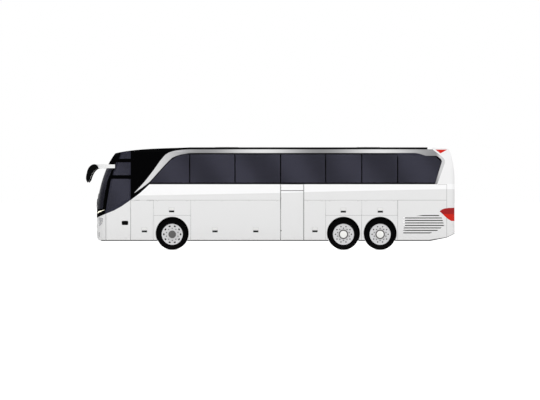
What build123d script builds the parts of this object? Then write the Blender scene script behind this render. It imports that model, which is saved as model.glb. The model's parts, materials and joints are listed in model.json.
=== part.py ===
from build123d import *
import os
from math import cos, radians

# Three-axle high-deck touring coach, millimetres.
# +Z is up, the front points to -X, the left (kerb) side is at -Y.
# The origin lies on the ground, in the middle of the overall length.

# Body envelope
BODY_FRONT = -6376.0
BODY_REAR = 6745.0
BODY_WIDTH = 2550.0
ROOF_HEIGHT = 3755.0
SILL_HEIGHT = 326.0
ROOF_CORNER_RADIUS = 190.0
REAR_CORNER_RADIUS = 160.0
WALL = 45.0
GLASS = 12.0

# Distance behind the nose and drop below the roof, along the front of the roof line
ROOF_FRONT_LINE = ((3433, 0), (2441, 36), (1281, 117), (692, 212), (-424, 520))
# Height and setback of the nose line behind the bumper face
NOSE_LINE = ((150, 0), (1000, 0), (1812, 37), (2584, 205), (3162, 436), (3900, 1060))
# Distance outboard of the side and setback of the front face seen from above
NOSE_PLAN = ((15, 430), (-45, 300), (-155, 195), (-375, 95), (-775, 22))
NOSE_UNDERCUT = 226.0
NOSE_UNDERCUT_HEIGHT = 234.0

# Rear end profile
TAIL_RAMP_LENGTH = 904.0
TAIL_RAMP_HEIGHT = 263.0
TAIL_KNEE_LENGTH = 292.0
TAIL_KNEE_HEIGHT = 124.0
TAIL_LEAN_HEIGHT = 2247.0
TAIL_ROOF_LENGTH = 970.0

# Heights of the lines along the side
PANEL_SPLIT_HEIGHT = 3550.0
GLASS_BOTTOM = 2460.0
BELT_HEIGHT = 2401.0
FLAP_TOP = 1819.0
ARCH_FLAP_BOTTOM = 1266.0

# Running gear
TYRE_RADIUS = 569.0
TYRE_WIDTH = 300.0
TYRE_SHOULDER = 38.0
RIM_RADIUS = 380.0
TYRE_INSET = 30.0
TWIN_GAP = 40.0
FRONT_AXLE_X = -3594.0
DRIVE_AXLE_X = 2674.0
TAG_SPACING = 1343.0
ARCH_RADIUS = 604.0
ARCH_RISE = 39.0
HUB_BORE_RADIUS = 50.0

# Lines across the side panels
DOOR_REAR_X = -5113.0
FRONT_BAY_AHEAD = 685.0
FRONT_BAY_BEHIND = 677.0
FIRST_PILLAR_X = -2954.0
SECOND_PILLAR_X = -1296.0
MID_DOOR_X = 373.0
MID_DOOR_WIDTH = 846.0
DRIVE_BAY_AHEAD = 650.0
TAG_BAY_BEHIND = 642.0
REAR_CORNER_X = 6453.0
PILLAR_WIDTH = 40.0

# Gaps and hinges
SEAM = 6.0
DOOR_FRONT_SEAM = 12.0
HINGE_RADIUS = 12.0
HINGE_PIN_RADIUS = 5.0
HINGE_LUG_WIDTH = 30.0
PIN_CLEARANCE = 0.3

# Front door linkage
DOOR_ARM_LENGTH = 450.0
DOOR_ARM_INSET = 110.0
DOOR_ARM_ELBOW = (125.0, 110.0)
DOOR_POST_X = -5950.0
DOOR_POST_RADIUS = 22.0
DOOR_ARM_HEIGHTS = (620.0, 1480.0)
DOOR_ARM_THICKNESS = 36.0

# Floors
DECK_HEIGHT = 1550.0
DECK_THICKNESS = 50.0
DECK_FRONT_X = -4540.0
PLATFORM_HEIGHT = 1040.0
ENTRY_HEIGHT = 430.0
STEP_COUNT = 5
STEP_DEPTH = 240.0
BAY_FLOOR_HEIGHT = 400.0
BAY_FLOOR_THICKNESS = 30.0
BULKHEAD = 16.0
WHEELHOUSE_TOP = 1240.0
FLAP_CLEARANCE = 8.0

# Seats
SEAT_PITCH = 800.0
SEAT_ROWS = 13
SEAT_FIRST_X = -4050.0
SEAT_WIDTH = 440.0

HALF = BODY_WIDTH / 2
AXLE_Z = TYRE_RADIUS
TAG_AXLE_X = DRIVE_AXLE_X + TAG_SPACING
FRONT_BAY_X0 = FRONT_AXLE_X - FRONT_BAY_AHEAD
FRONT_BAY_X1 = FRONT_AXLE_X + FRONT_BAY_BEHIND
MID_DOOR_X1 = MID_DOOR_X + MID_DOOR_WIDTH
REAR_BAY_X0 = DRIVE_AXLE_X - DRIVE_BAY_AHEAD
REAR_BAY_MID = DRIVE_AXLE_X + TAG_SPACING / 2
REAR_BAY_X1 = TAG_AXLE_X + TAG_BAY_BEHIND


def block(x0, x1, y0, y1, z0, z1):
    """Box between two opposite corners."""
    with BuildPart() as box:
        with Locations(((x0 + x1) / 2, (y0 + y1) / 2, (z0 + z1) / 2)):
            Box(x1 - x0, y1 - y0, z1 - z0)
    return box.part


def side_prism(points, y0, y1):
    """Prism from y0 to y1 over an outline of (x, z) points."""
    with BuildPart() as prism:
        with BuildSketch(Plane.XZ.offset(-y1)):
            with BuildLine():
                Polyline(*points, close=True)
            make_face()
        extrude(amount=y1 - y0)
    return prism.part


def union(pieces):
    """Join several pieces in one part."""
    with BuildPart() as joined:
        for piece in pieces:
            add(piece)
    return joined.part


def kept_apart(pieces):
    """Several touching pieces in one part, each a solid of its own."""
    return Part([solid for piece in pieces for solid in piece.solids()])


def both_sides(piece):
    """The piece together with its mirror image across the centre plane."""
    return union([piece, mirror(piece, about=Plane.XZ)])


def body_envelope(inset, bottom, ramp):
    """Solid body inside the outer skin, moved inwards by inset."""
    half = HALF - inset
    roof = ROOF_HEIGHT - inset
    rear = BODY_REAR - inset
    front = BODY_FRONT
    roof_front = [(front + back, roof - drop) for back, drop in ROOF_FRONT_LINE]
    far_front = roof_front[-1]
    tail_mid = rear - 14
    with BuildPart() as body:
        for height, setback in NOSE_LINE:
            nose = front + setback + inset
            corner = [(nose + back, half + out) for out, back in NOSE_PLAN]
            with BuildSketch(Plane.XY.offset(height)):
                with BuildLine():
                    right = corner
                    left = [(x, -y) for x, y in reversed(corner)]
                    Spline(*right, (nose, 0), *left)
                    Polyline(left[-1], (rear + 50, left[-1][1]), (rear + 50, right[0][1]), right[0])
                make_face()
        loft()
        with BuildSketch(Plane.XZ.offset(-half - 100)):
            with BuildLine():
                if ramp:
                    Polyline(
                        (far_front[0], far_front[1]),
                        (far_front[0], bottom + NOSE_UNDERCUT_HEIGHT + 900),
                        (front - 10, bottom + NOSE_UNDERCUT_HEIGHT),
                    )
                    ThreePointArc(
                        (front - 10, bottom + NOSE_UNDERCUT_HEIGHT),
                        (front + NOSE_UNDERCUT * 0.25, bottom + NOSE_UNDERCUT_HEIGHT * 0.25),
                        (front + NOSE_UNDERCUT, bottom),
                    )
                    Polyline(
                        (front + NOSE_UNDERCUT, bottom),
                        (rear - TAIL_RAMP_LENGTH, bottom),
                        (rear - TAIL_KNEE_LENGTH, bottom + TAIL_KNEE_HEIGHT),
                        (rear, bottom + TAIL_RAMP_HEIGHT),
                        (rear, TAIL_LEAN_HEIGHT),
                    )
                else:
                    Polyline(far_front, (far_front[0], bottom), (rear, bottom), (rear, TAIL_LEAN_HEIGHT))
                Spline(
                    (rear, TAIL_LEAN_HEIGHT),
                    (tail_mid, TAIL_LEAN_HEIGHT + 560),
                    (rear - 84, TAIL_LEAN_HEIGHT + 1029),
                    (rear - 175, roof - 155),
                    tangents=((-0.03, 1), (-0.42, 1)),
                )
                ThreePointArc(
                    (rear - 175, roof - 155), (rear - 218, roof - 85), (rear - 305, roof - 43)
                )
                Polyline((rear - 305, roof - 43), (rear - TAIL_ROOF_LENGTH, roof), roof_front[0])
                Spline(*roof_front)
            make_face()
        extrude(amount=2 * (half + 100), mode=Mode.INTERSECT)
        with BuildSketch(Plane.YZ) as cross_section:
            with Locations((0, (bottom + roof) / 2)):
                Rectangle(2 * half, roof - bottom)
            upper = cross_section.vertices().sort_by(Axis.Y)[-2:]
            fillet(upper, ROOF_CORNER_RADIUS - inset)
        extrude(amount=2 * BODY_REAR, both=True, mode=Mode.INTERSECT)
        with BuildSketch(Plane.XY) as plan:
            with Locations((0, 0)):
                Rectangle(2 * rear, 2 * half)
            ends = plan.vertices().sort_by(Axis.X)[-2:]
            fillet(ends, REAR_CORNER_RADIUS - inset)
        extrude(amount=2 * ROOF_HEIGHT, mode=Mode.INTERSECT)
    return body.part


outer_body = body_envelope(0, SILL_HEIGHT, True)
inner_body = body_envelope(WALL, SILL_HEIGHT - 100, False)
glass_body = body_envelope(GLASS, SILL_HEIGHT - 100, False)

with BuildPart() as skin:
    add(outer_body)
    add(inner_body, mode=Mode.SUBTRACT)

with BuildPart() as glass_skin:
    add(outer_body)
    add(glass_body, mode=Mode.SUBTRACT)

# Windscreen pillar seen from the side: setback behind the nose and height
PILLAR_FRONT_LINE = ((236, 1500), (256, 1717), (396, 2485), (538, 2866), (761, 3450))
PILLAR_REAR_LINE = ((348, 1300), (370, 1717), (505, 2485), (641, 2866), (926, 3550))
SCREEN_BOTTOM = PILLAR_FRONT_LINE[0][1]
SCREEN_TOP = PILLAR_FRONT_LINE[-1][1]
DOOR_PANE_RAIL = 50.0
DOOR_RAIL_HEIGHTS = ((2599, 2738), (3199, 3342))
DOOR_PANE_SILL = ((DOOR_REAR_X, 1900), (BODY_FRONT + 348, 1420))

front_region = block(BODY_FRONT - 50, DOOR_REAR_X, -HALF - 50, HALF + 50, 0, ROOF_HEIGHT + 50)
pillar_rear = [(BODY_FRONT + back, z) for back, z in PILLAR_REAR_LINE]
door_outline = [
    (DOOR_REAR_X + SEAM / 2, SILL_HEIGHT - 50),
    (pillar_rear[0][0], SILL_HEIGHT - 50),
    *pillar_rear,
    (DOOR_REAR_X + SEAM / 2, pillar_rear[-1][1]),
]
door_opening = side_prism(door_outline, -HALF - 30, -HALF + 150)
leaf_front = [(x + DOOR_FRONT_SEAM, z) for x, z in pillar_rear]
leaf_outline = [
    (DOOR_REAR_X - SEAM / 2, SILL_HEIGHT),
    (leaf_front[0][0], SILL_HEIGHT),
    *leaf_front[:-1],
    (leaf_front[-1][0], leaf_front[-1][1] - SEAM),
    (DOOR_REAR_X - SEAM / 2, leaf_front[-1][1] - SEAM),
]
leaf_shape = side_prism(leaf_outline, -HALF - 30, -HALF + 150)

screen_front = [(BODY_FRONT + back, z) for back, z in PILLAR_FRONT_LINE]
screen_outline = [(BODY_FRONT - 50, SCREEN_BOTTOM), *screen_front, (BODY_FRONT - 50, SCREEN_TOP)]
screen_shape = side_prism(screen_outline, -HALF - 30, HALF + 30)


def pillar_x(height):
    """Rear edge of the windscreen pillar at a height, with the pane's rail added."""
    for (x0, z0), (x1, z1) in zip(pillar_rear, pillar_rear[1:]):
        if height <= z1:
            return x0 + (x1 - x0) * (height - z0) / (z1 - z0) + DOOR_PANE_RAIL
    return pillar_rear[-1][0] + DOOR_PANE_RAIL


def door_pane_outlines():
    """Outlines of the three panes of the entrance door, lowest first."""
    rear_x = DOOR_REAR_X - DOOR_PANE_RAIL
    (low_top, mid_bottom), (mid_top, high_bottom) = DOOR_RAIL_HEIGHTS
    knee_x, knee_z = pillar_rear[1]
    high_top = pillar_rear[-1][1] - DOOR_PANE_RAIL
    low = [
        (rear_x, DOOR_PANE_SILL[0][1]),
        (DOOR_PANE_SILL[1][0] + DOOR_PANE_RAIL, DOOR_PANE_SILL[1][1]),
        (knee_x + DOOR_PANE_RAIL, knee_z),
        (pillar_x(low_top), low_top),
        (rear_x, low_top),
    ]
    bands = [low]
    for bottom, top in ((mid_bottom, mid_top), (high_bottom, high_top)):
        bands.append([(rear_x, bottom), (pillar_x(bottom), bottom), (pillar_x(top), top), (rear_x, top)])
    return bands


door_panes = union([side_prism(band, -HALF - 30, -HALF + 150) for band in door_pane_outlines()])
driver_panes = mirror(door_panes, about=Plane.XZ)

# Lamps at the four corners
HEAD_LAMP = ((-10, 1200), (249, 1163), (215, 960), (120, 875), (-10, 875))
FOG_LAMP = ((-10, 655), (139, 640), (110, 455), (-10, 450))
TAIL_LAMP_TOP = ((-552, 1409), (-464, 1479), (-318, 1523), (-172, 1537), (30, 1549))
TAIL_LAMP_LOW = ((-117, 1058), (-245, 1131), (-391, 1259), TAIL_LAMP_TOP[0])
HIGH_LAMP = ((-706, 3671), (-270, 3671), (-520, 3532))
HEAD_LAMP_SPAN = 640.0
FOG_LAMP_SPAN = 560.0
TAIL_LAMP_SPAN = 300.0


def corner_lamp(outline, datum, span):
    """Left corner piece over an outline of (distance from datum, height) points."""
    points = [(datum + along, z) for along, z in outline]
    return side_prism(points, -HALF - 30, -HALF + span)


def tail_lamp_prism():
    """Left tail lamp block between its curved upper and lower edges."""
    top = [(BODY_REAR + along, z) for along, z in TAIL_LAMP_TOP]
    low = [(BODY_REAR + along, z) for along, z in TAIL_LAMP_LOW]
    corner = (top[-1][0], low[0][1])
    with BuildPart() as prism:
        with BuildSketch(Plane.XZ.offset(HALF - TAIL_LAMP_SPAN)):
            with BuildLine():
                Spline(*top)
                Polyline(top[-1], corner, low[0])
                Spline(*low)
            make_face()
        extrude(amount=TAIL_LAMP_SPAN + 30)
    return prism.part


head_lamp_cut = both_sides(corner_lamp(HEAD_LAMP, BODY_FRONT, HEAD_LAMP_SPAN))
fog_lamp_cut = both_sides(corner_lamp(FOG_LAMP, BODY_FRONT, FOG_LAMP_SPAN))
tail_lamp_cut = both_sides(tail_lamp_prism())
high_lamp_cut = both_sides(corner_lamp(HIGH_LAMP, BODY_REAR, TAIL_LAMP_SPAN))

with BuildPart() as front_panel:
    add(skin.part)
    add(front_region, mode=Mode.INTERSECT)
    add(door_opening, mode=Mode.SUBTRACT)
    add(screen_shape, mode=Mode.SUBTRACT)
    add(driver_panes, mode=Mode.SUBTRACT)
    add(head_lamp_cut, mode=Mode.SUBTRACT)
    add(fog_lamp_cut, mode=Mode.SUBTRACT)

with BuildPart() as windscreen:
    add(glass_skin.part)
    add(screen_shape, mode=Mode.INTERSECT)

with BuildPart() as head_lamps:
    add(skin.part)
    add(union([head_lamp_cut, fog_lamp_cut]), mode=Mode.INTERSECT)

# Hinged panels
def hinged_panel(length, height, hinges):
    """Panel hung from its upper outer edge: outer face y = 0, top edge z = 0."""
    notch = HINGE_LUG_WIDTH + 2 * SEAM
    depth = 2 * HINGE_RADIUS + SEAM
    bend = HINGE_RADIUS * (1 - cos(radians(45)))
    with BuildPart() as panel:
        with BuildSketch(Plane.YZ.offset(-length / 2)):
            with BuildLine():
                Polyline(
                    (HINGE_RADIUS, 0), (WALL, 0), (WALL, -height), (0, -height), (0, -HINGE_RADIUS)
                )
                ThreePointArc((0, -HINGE_RADIUS), (bend, -bend), (HINGE_RADIUS, 0))
            make_face()
        extrude(amount=length)
        with Locations(*[(x, WALL / 2, -depth / 2) for x in hinges]):
            Box(notch, WALL, depth, mode=Mode.SUBTRACT)
        with Locations(*[Location((x, HINGE_RADIUS, -HINGE_RADIUS), (0, 90, 0)) for x in hinges]):
            Cylinder(HINGE_PIN_RADIUS, notch + 2 * SEAM)
    return panel.part


def hinge_lugs(hinges):
    """Lugs around the pins of a hinged panel, rising across the seam above it."""
    with BuildPart() as lugs:
        for x in hinges:
            with BuildSketch(Plane.YZ.offset(x - HINGE_LUG_WIDTH / 2)):
                with Locations((HINGE_RADIUS, -HINGE_RADIUS)):
                    Circle(HINGE_RADIUS)
                with Locations((HINGE_RADIUS, (SEAM - HINGE_RADIUS) / 2)):
                    Rectangle(2 * HINGE_RADIUS, SEAM + HINGE_RADIUS)
                with Locations((HINGE_RADIUS, -HINGE_RADIUS)):
                    Circle(HINGE_PIN_RADIUS + PIN_CLEARANCE, mode=Mode.SUBTRACT)
            extrude(amount=HINGE_LUG_WIDTH)
    return lugs.part


HINGE_END_DISTANCE = 140.0
HINGE_SPACING = 1100.0


def hinge_offsets(length):
    """Hinge places along an edge, from its middle."""
    reach = length / 2 - HINGE_END_DISTANCE
    spans = max(1, round(2 * reach / HINGE_SPACING))
    return [-reach + 2 * reach * i / spans for i in range(spans + 1)]


FLAP_BAYS = {
    "front_flap": (DOOR_REAR_X, FRONT_BAY_X0, SILL_HEIGHT),
    "front_wheel_flap": (FRONT_BAY_X0, FRONT_BAY_X1, ARCH_FLAP_BOTTOM + SEAM / 2),
    "luggage_flap": (FRONT_BAY_X1, MID_DOOR_X, SILL_HEIGHT),
    "centre_flap": (MID_DOOR_X, MID_DOOR_X1, SILL_HEIGHT),
    "service_flap": (MID_DOOR_X1, REAR_BAY_X0, SILL_HEIGHT),
    "drive_wheel_flap": (REAR_BAY_X0, REAR_BAY_MID, ARCH_FLAP_BOTTOM + SEAM / 2),
    "tag_wheel_flap": (REAR_BAY_MID, REAR_BAY_X1, ARCH_FLAP_BOTTOM + SEAM / 2),
}
flaps = {}
flap_lugs = {}
flap_bays = {}
for name, (x0, x1, z0) in FLAP_BAYS.items():
    length = x1 - x0 - SEAM
    top = FLAP_TOP - SEAM / 2
    place = Location(((x0 + x1) / 2, -HALF, top))
    offsets = hinge_offsets(length)
    flaps[name] = hinged_panel(length, top - z0, offsets).moved(place)
    flap_lugs[name] = hinge_lugs(offsets).moved(place)
    low = z0 - SEAM if z0 > SILL_HEIGHT else 0
    flap_bays[name] = block(
        x0 - SEAM / 2, x1 + SEAM / 2, -HALF - 20, -HALF + 100, low, FLAP_TOP + SEAM / 2
    )

# Entrance in the middle of the left side, hinged at its front edge
mid_door_height = BELT_HEIGHT - SEAM - SILL_HEIGHT
mid_door_middle = SILL_HEIGHT + mid_door_height / 2
MID_DOOR_HINGES = (700.0, 1900.0, 2280.0)
mid_door_offsets = [z - mid_door_middle for z in MID_DOOR_HINGES]
mid_door_place = Location((MID_DOOR_X + SEAM / 2, -HALF, mid_door_middle), (0, -90, 0))
mid_door_leaf = hinged_panel(mid_door_height, MID_DOOR_WIDTH - SEAM, mid_door_offsets)
mid_door_lugs = hinge_lugs(mid_door_offsets).moved(mid_door_place)
mid_door_bay = block(
    MID_DOOR_X - SEAM / 2, MID_DOOR_X1 + SEAM / 2, -HALF - 20, -HALF + 100, 0, BELT_HEIGHT
)
mid_door_lower_lug = block(
    MID_DOOR_X - 60, MID_DOOR_X + 60, -HALF - 10, -HALF + 100,
    MID_DOOR_HINGES[0] - 40, MID_DOOR_HINGES[0] + 40,
)

with BuildPart() as mid_door:
    add(mid_door_leaf.moved(mid_door_place))

# Side glass
pane_edges = (
    FIRST_PILLAR_X, SECOND_PILLAR_X, MID_DOOR_X, REAR_BAY_X0, REAR_BAY_MID, REAR_BAY_X1,
)
FIRST_PANE_SWEEP = ((-4410, GLASS_BOTTOM), (-3930, 2994), (-3660, 3276), (-3400, 3440), (-3180, 3500))
LAST_PANE_SWEEP = ((6020, GLASS_BOTTOM), (6262, 3226), (6040, 3420))
GLASS_TOP = 3500.0


def pane_outlines():
    """Outlines of the side panes from front to rear."""
    gap = PILLAR_WIDTH / 2
    first = [*FIRST_PANE_SWEEP, (pane_edges[0] - gap, GLASS_TOP), (pane_edges[0] - gap, GLASS_BOTTOM)]
    last = [(pane_edges[-1] + gap, GLASS_BOTTOM), *LAST_PANE_SWEEP, (pane_edges[-1] + gap, GLASS_TOP)]
    outlines = [first]
    for x0, x1 in zip(pane_edges, pane_edges[1:]):
        outlines.append(
            [(x0 + gap, GLASS_BOTTOM), (x1 - gap, GLASS_BOTTOM), (x1 - gap, GLASS_TOP), (x0 + gap, GLASS_TOP)]
        )
    outlines.append(last)
    return outlines


window_cuts = union([side_prism(outline, -HALF - 20, -HALF + 100) for outline in pane_outlines()])
window_panes = union([side_prism(outline, -HALF, -HALF + GLASS) for outline in pane_outlines()])

with BuildPart() as side_windows_left:
    add(window_panes)

driver_glass_skin = block(BODY_FRONT, DOOR_REAR_X, HALF - 150, HALF + 20, SILL_HEIGHT, ROOF_HEIGHT)
with BuildPart() as driver_glass:
    add(glass_skin.part)
    add(driver_glass_skin, mode=Mode.INTERSECT)
    add(driver_panes, mode=Mode.INTERSECT)

with BuildPart() as side_windows_right:
    add(mirror(window_panes, about=Plane.XZ))
    add(driver_glass.part)

# Louvred panel over the engine bay
GRILLE_OUTLINE = ((4842, 582), (4842, 1204), (6098, 1362), (6300, 1180), (6391, 886), (6130, 690), (5841, 582))
GRILLE_BORDER = 22.0
SLAT_FIRST = 40.0
SLAT_PITCH = 91.0
SLAT_SLOT = 34.0
GRILLE_BOTTOM = GRILLE_OUTLINE[0][1]
GRILLE_TOP = GRILLE_OUTLINE[2][1]

grille_opening = side_prism(GRILLE_OUTLINE, -HALF - 20, -HALF + 100)
with BuildPart() as grille_slots:
    with BuildSketch(Plane.XZ.offset(HALF + 20)):
        with BuildLine():
            Polyline(*GRILLE_OUTLINE, close=True)
        make_face()
        offset(amount=-GRILLE_BORDER, kind=Kind.INTERSECTION)
    extrude(amount=-100 - WALL)
    slot_count = int((GRILLE_TOP - GRILLE_BOTTOM - SLAT_FIRST) / SLAT_PITCH)
    slot_heights = [GRILLE_BOTTOM + SLAT_FIRST + SLAT_PITCH * i for i in range(slot_count)]
    slot_x = (GRILLE_OUTLINE[0][0] + GRILLE_OUTLINE[4][0]) / 2
    with Locations(*[(slot_x, -HALF, z) for z in slot_heights]):
        Box(3000, 400, SLAT_SLOT, mode=Mode.INTERSECT)

with BuildPart() as side_grille:
    add(side_prism(GRILLE_OUTLINE, -HALF, -HALF + WALL))
    add(grille_slots.part, mode=Mode.SUBTRACT)

with BuildPart() as side_grilles:
    add(both_sides(side_grille.part))

# Side panels
side_region = block(DOOR_REAR_X, REAR_CORNER_X, -HALF - 20, -HALF + 100, 0, PANEL_SPLIT_HEIGHT)
arch_centres = (FRONT_AXLE_X, DRIVE_AXLE_X, TAG_AXLE_X)

with BuildPart() as side_base:
    add(skin.part)
    add(side_region, mode=Mode.INTERSECT)
    add(window_cuts, mode=Mode.SUBTRACT)
    add(grille_opening, mode=Mode.SUBTRACT)
    add(tail_lamp_cut, mode=Mode.SUBTRACT)
    add(high_lamp_cut, mode=Mode.SUBTRACT)
    with Locations(*[Location((x, -HALF, AXLE_Z + ARCH_RISE), (90, 0, 0)) for x in arch_centres]):
        Cylinder(ARCH_RADIUS, 400, mode=Mode.SUBTRACT)

left_bays = [bay for name, bay in flap_bays.items() if name != "centre_flap"]
left_lugs = [lug for name, lug in flap_lugs.items() if name != "centre_flap"]

with BuildPart() as side_panel_left:
    add(side_base.part)
    add(union(left_bays), mode=Mode.SUBTRACT)
    add(mid_door_bay, mode=Mode.SUBTRACT)
    add(union(left_lugs))
    add(mid_door_lugs - mid_door_lower_lug)

with BuildPart() as right_base:
    add(side_base.part)
    add(union(flap_bays.values()), mode=Mode.SUBTRACT)
    add(union(flap_lugs.values()))

with BuildPart() as side_panel_right:
    add(mirror(right_base.part, about=Plane.XZ))

# Roof, rear end and engine lid
ENGINE_LID_WIDTH = 1600.0
ENGINE_LID_BOTTOM = 640.0
ENGINE_LID_TOP = 1750.0
REAR_WINDOW_WIDTH = 1900.0
REAR_WINDOW_BOTTOM = 2520.0
REAR_WINDOW_TOP = 3260.0

roof_end_x = BODY_REAR + HIGH_LAMP[2][0]
roof_region = block(
    DOOR_REAR_X, roof_end_x, -HALF - 20, HALF + 20, PANEL_SPLIT_HEIGHT, ROOF_HEIGHT + 20
)
rear_region = union(
    [
        block(REAR_CORNER_X, BODY_REAR + 20, -HALF - 20, HALF + 20, 0, ROOF_HEIGHT + 20),
        block(roof_end_x, BODY_REAR, -HALF - 20, HALF + 20, PANEL_SPLIT_HEIGHT, ROOF_HEIGHT + 20),
    ]
)
rear_window_shape = block(
    REAR_CORNER_X, BODY_REAR + 20, -REAR_WINDOW_WIDTH / 2, REAR_WINDOW_WIDTH / 2,
    REAR_WINDOW_BOTTOM, REAR_WINDOW_TOP,
)
lid_width = ENGINE_LID_WIDTH - SEAM
lid_hinges = hinge_offsets(lid_width)
lid_place = Location((BODY_REAR, 0, ENGINE_LID_TOP - SEAM / 2), (0, 0, 90))
lid_bay = block(
    BODY_REAR - 100, BODY_REAR + 20, -ENGINE_LID_WIDTH / 2 - SEAM / 2,
    ENGINE_LID_WIDTH / 2 + SEAM / 2, ENGINE_LID_BOTTOM - SEAM / 2, ENGINE_LID_TOP + SEAM / 2,
)

with BuildPart() as roof_panel:
    add(skin.part)
    add(roof_region, mode=Mode.INTERSECT)
    add(high_lamp_cut, mode=Mode.SUBTRACT)

with BuildPart() as rear_panel:
    add(skin.part)
    add(rear_region, mode=Mode.INTERSECT)
    add(tail_lamp_cut, mode=Mode.SUBTRACT)
    add(high_lamp_cut, mode=Mode.SUBTRACT)
    add(rear_window_shape, mode=Mode.SUBTRACT)
    add(lid_bay, mode=Mode.SUBTRACT)
    add(hinge_lugs(lid_hinges).moved(lid_place))

with BuildPart() as rear_window:
    add(glass_skin.part)
    add(rear_window_shape, mode=Mode.INTERSECT)

with BuildPart() as tail_lamps:
    add(skin.part)
    add(union([tail_lamp_cut, high_lamp_cut]), mode=Mode.INTERSECT)

lid_height = ENGINE_LID_TOP - ENGINE_LID_BOTTOM - SEAM / 2
with BuildPart() as engine_lid:
    add(hinged_panel(lid_width, lid_height, lid_hinges).moved(lid_place))

# Entrance door at the front, carried by a swinging arm
post_y = -HALF + DOOR_ARM_INSET
leaf_pin_x = DOOR_POST_X + DOOR_ARM_LENGTH
DOOR_SLEEVE_RADIUS = 38.0
DOOR_LEAF_PIN_RADIUS = 12.0
DOOR_LEAF_EYE_RADIUS = 24.0
DOOR_ARM_WIDTH = 32.0
DOOR_BRACKET_THICKNESS = 12.0

with BuildPart() as front_door:
    add(skin.part)
    add(leaf_shape, mode=Mode.INTERSECT)
    add(door_panes, mode=Mode.SUBTRACT)
    for height in DOOR_ARM_HEIGHTS:
        plate_top = height - PIN_CLEARANCE
        add(
            block(
                leaf_pin_x - DOOR_LEAF_EYE_RADIUS, leaf_pin_x + DOOR_LEAF_EYE_RADIUS,
                -HALF + WALL, post_y + DOOR_LEAF_PIN_RADIUS,
                plate_top - DOOR_BRACKET_THICKNESS, plate_top,
            )
        )
        with Locations((leaf_pin_x, post_y, plate_top)):
            Cylinder(
                DOOR_LEAF_PIN_RADIUS, DOOR_ARM_THICKNESS, align=(Align.CENTER, Align.CENTER, Align.MIN)
            )

with BuildPart() as front_door_glass:
    add(glass_skin.part)
    add(door_panes, mode=Mode.INTERSECT)

with BuildPart() as front_door_arm:
    for height in DOOR_ARM_HEIGHTS:
        with BuildSketch(Plane.XY.offset(height)):
            with BuildLine():
                Polyline(
                    (DOOR_POST_X, post_y),
                    (DOOR_POST_X + DOOR_ARM_ELBOW[0], post_y + DOOR_ARM_ELBOW[1]),
                    (leaf_pin_x, post_y),
                )
            trace(line_width=DOOR_ARM_WIDTH)
            with Locations((leaf_pin_x, post_y)):
                Circle(DOOR_LEAF_EYE_RADIUS)
        extrude(amount=DOOR_ARM_THICKNESS)
    sleeve_low, sleeve_high = DOOR_ARM_HEIGHTS[0], DOOR_ARM_HEIGHTS[-1] + DOOR_ARM_THICKNESS
    with BuildSketch(Plane.XY.offset(sleeve_low)):
        with Locations((DOOR_POST_X, post_y)):
            Circle(DOOR_SLEEVE_RADIUS)
    extrude(amount=sleeve_high - sleeve_low)
    with BuildSketch(Plane.XY.offset(sleeve_low)):
        with Locations((DOOR_POST_X, post_y)):
            Circle(DOOR_POST_RADIUS + PIN_CLEARANCE)
        with Locations((leaf_pin_x, post_y)):
            Circle(DOOR_LEAF_PIN_RADIUS + PIN_CLEARANCE)
    extrude(amount=sleeve_high - sleeve_low, mode=Mode.SUBTRACT)

# Dashboard and driver's place
DASH_X = (-6020.0, -5620.0)
DASH_Y = (-640.0, 1120.0)
DASH_TOP = 1620.0
DASH_EDGE = 60.0
DRIVER_Y = 620.0
DRIVER_SEAT_X = -5150.0
POST_BAR_HEIGHT = 1540.0
POST_BAR_SIZE = 30.0

with BuildPart() as dashboard:
    add(block(*DASH_X, *DASH_Y, PLATFORM_HEIGHT, DASH_TOP))
    top_edges = dashboard.edges().filter_by(Axis.Y).group_by(Axis.Z)[-1]
    fillet(top_edges, DASH_EDGE)

with BuildPart() as door_post:
    with Locations((DOOR_POST_X, post_y, ENTRY_HEIGHT)):
        Cylinder(
            DOOR_POST_RADIUS, POST_BAR_HEIGHT + POST_BAR_SIZE - ENTRY_HEIGHT,
            align=(Align.CENTER, Align.CENTER, Align.MIN),
        )
    add(
        block(
            DOOR_POST_X - POST_BAR_SIZE / 2, DOOR_POST_X + POST_BAR_SIZE / 2, post_y, DASH_Y[0],
            POST_BAR_HEIGHT, POST_BAR_HEIGHT + POST_BAR_SIZE,
        )
    )

STEERING_WHEEL_RADIUS = 230.0
STEERING_RIM_RADIUS = 16.0
STEERING_WHEEL_X = -5560.0
STEERING_WHEEL_Z = 1800.0
STEERING_COLUMN = 320.0
steering_plane = Plane((STEERING_WHEEL_X, DRIVER_Y, STEERING_WHEEL_Z), x_dir=(0, 1, 0), z_dir=(0.42, 0, 0.91))
with BuildPart(steering_plane) as steering_gear:
    Torus(STEERING_WHEEL_RADIUS, STEERING_RIM_RADIUS)
    Box(2 * STEERING_WHEEL_RADIUS, 40, 12)
    Cylinder(50, 30)
    with Locations((0, 0, -STEERING_COLUMN / 2)):
        Cylinder(24, STEERING_COLUMN)

with BuildPart() as steering_wheel:
    add(steering_gear.part)
    add(dashboard.part, mode=Mode.SUBTRACT)

# Floors, steps and underframe
WELL_WALL_Y = -300.0
WELL_WALL = 20.0
ENTRY_X = -5985.0
ENTRY_Y = -1195.0
STEP_Y = -1100.0
PLATFORM_Y = 1190.0
PLATFORM_THICKNESS = 40.0
STEP_FRONT_X = DECK_FRONT_X - (STEP_COUNT - 1) * STEP_DEPTH
STEP_RISE = (DECK_HEIGHT - ENTRY_HEIGHT) / STEP_COUNT


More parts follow.
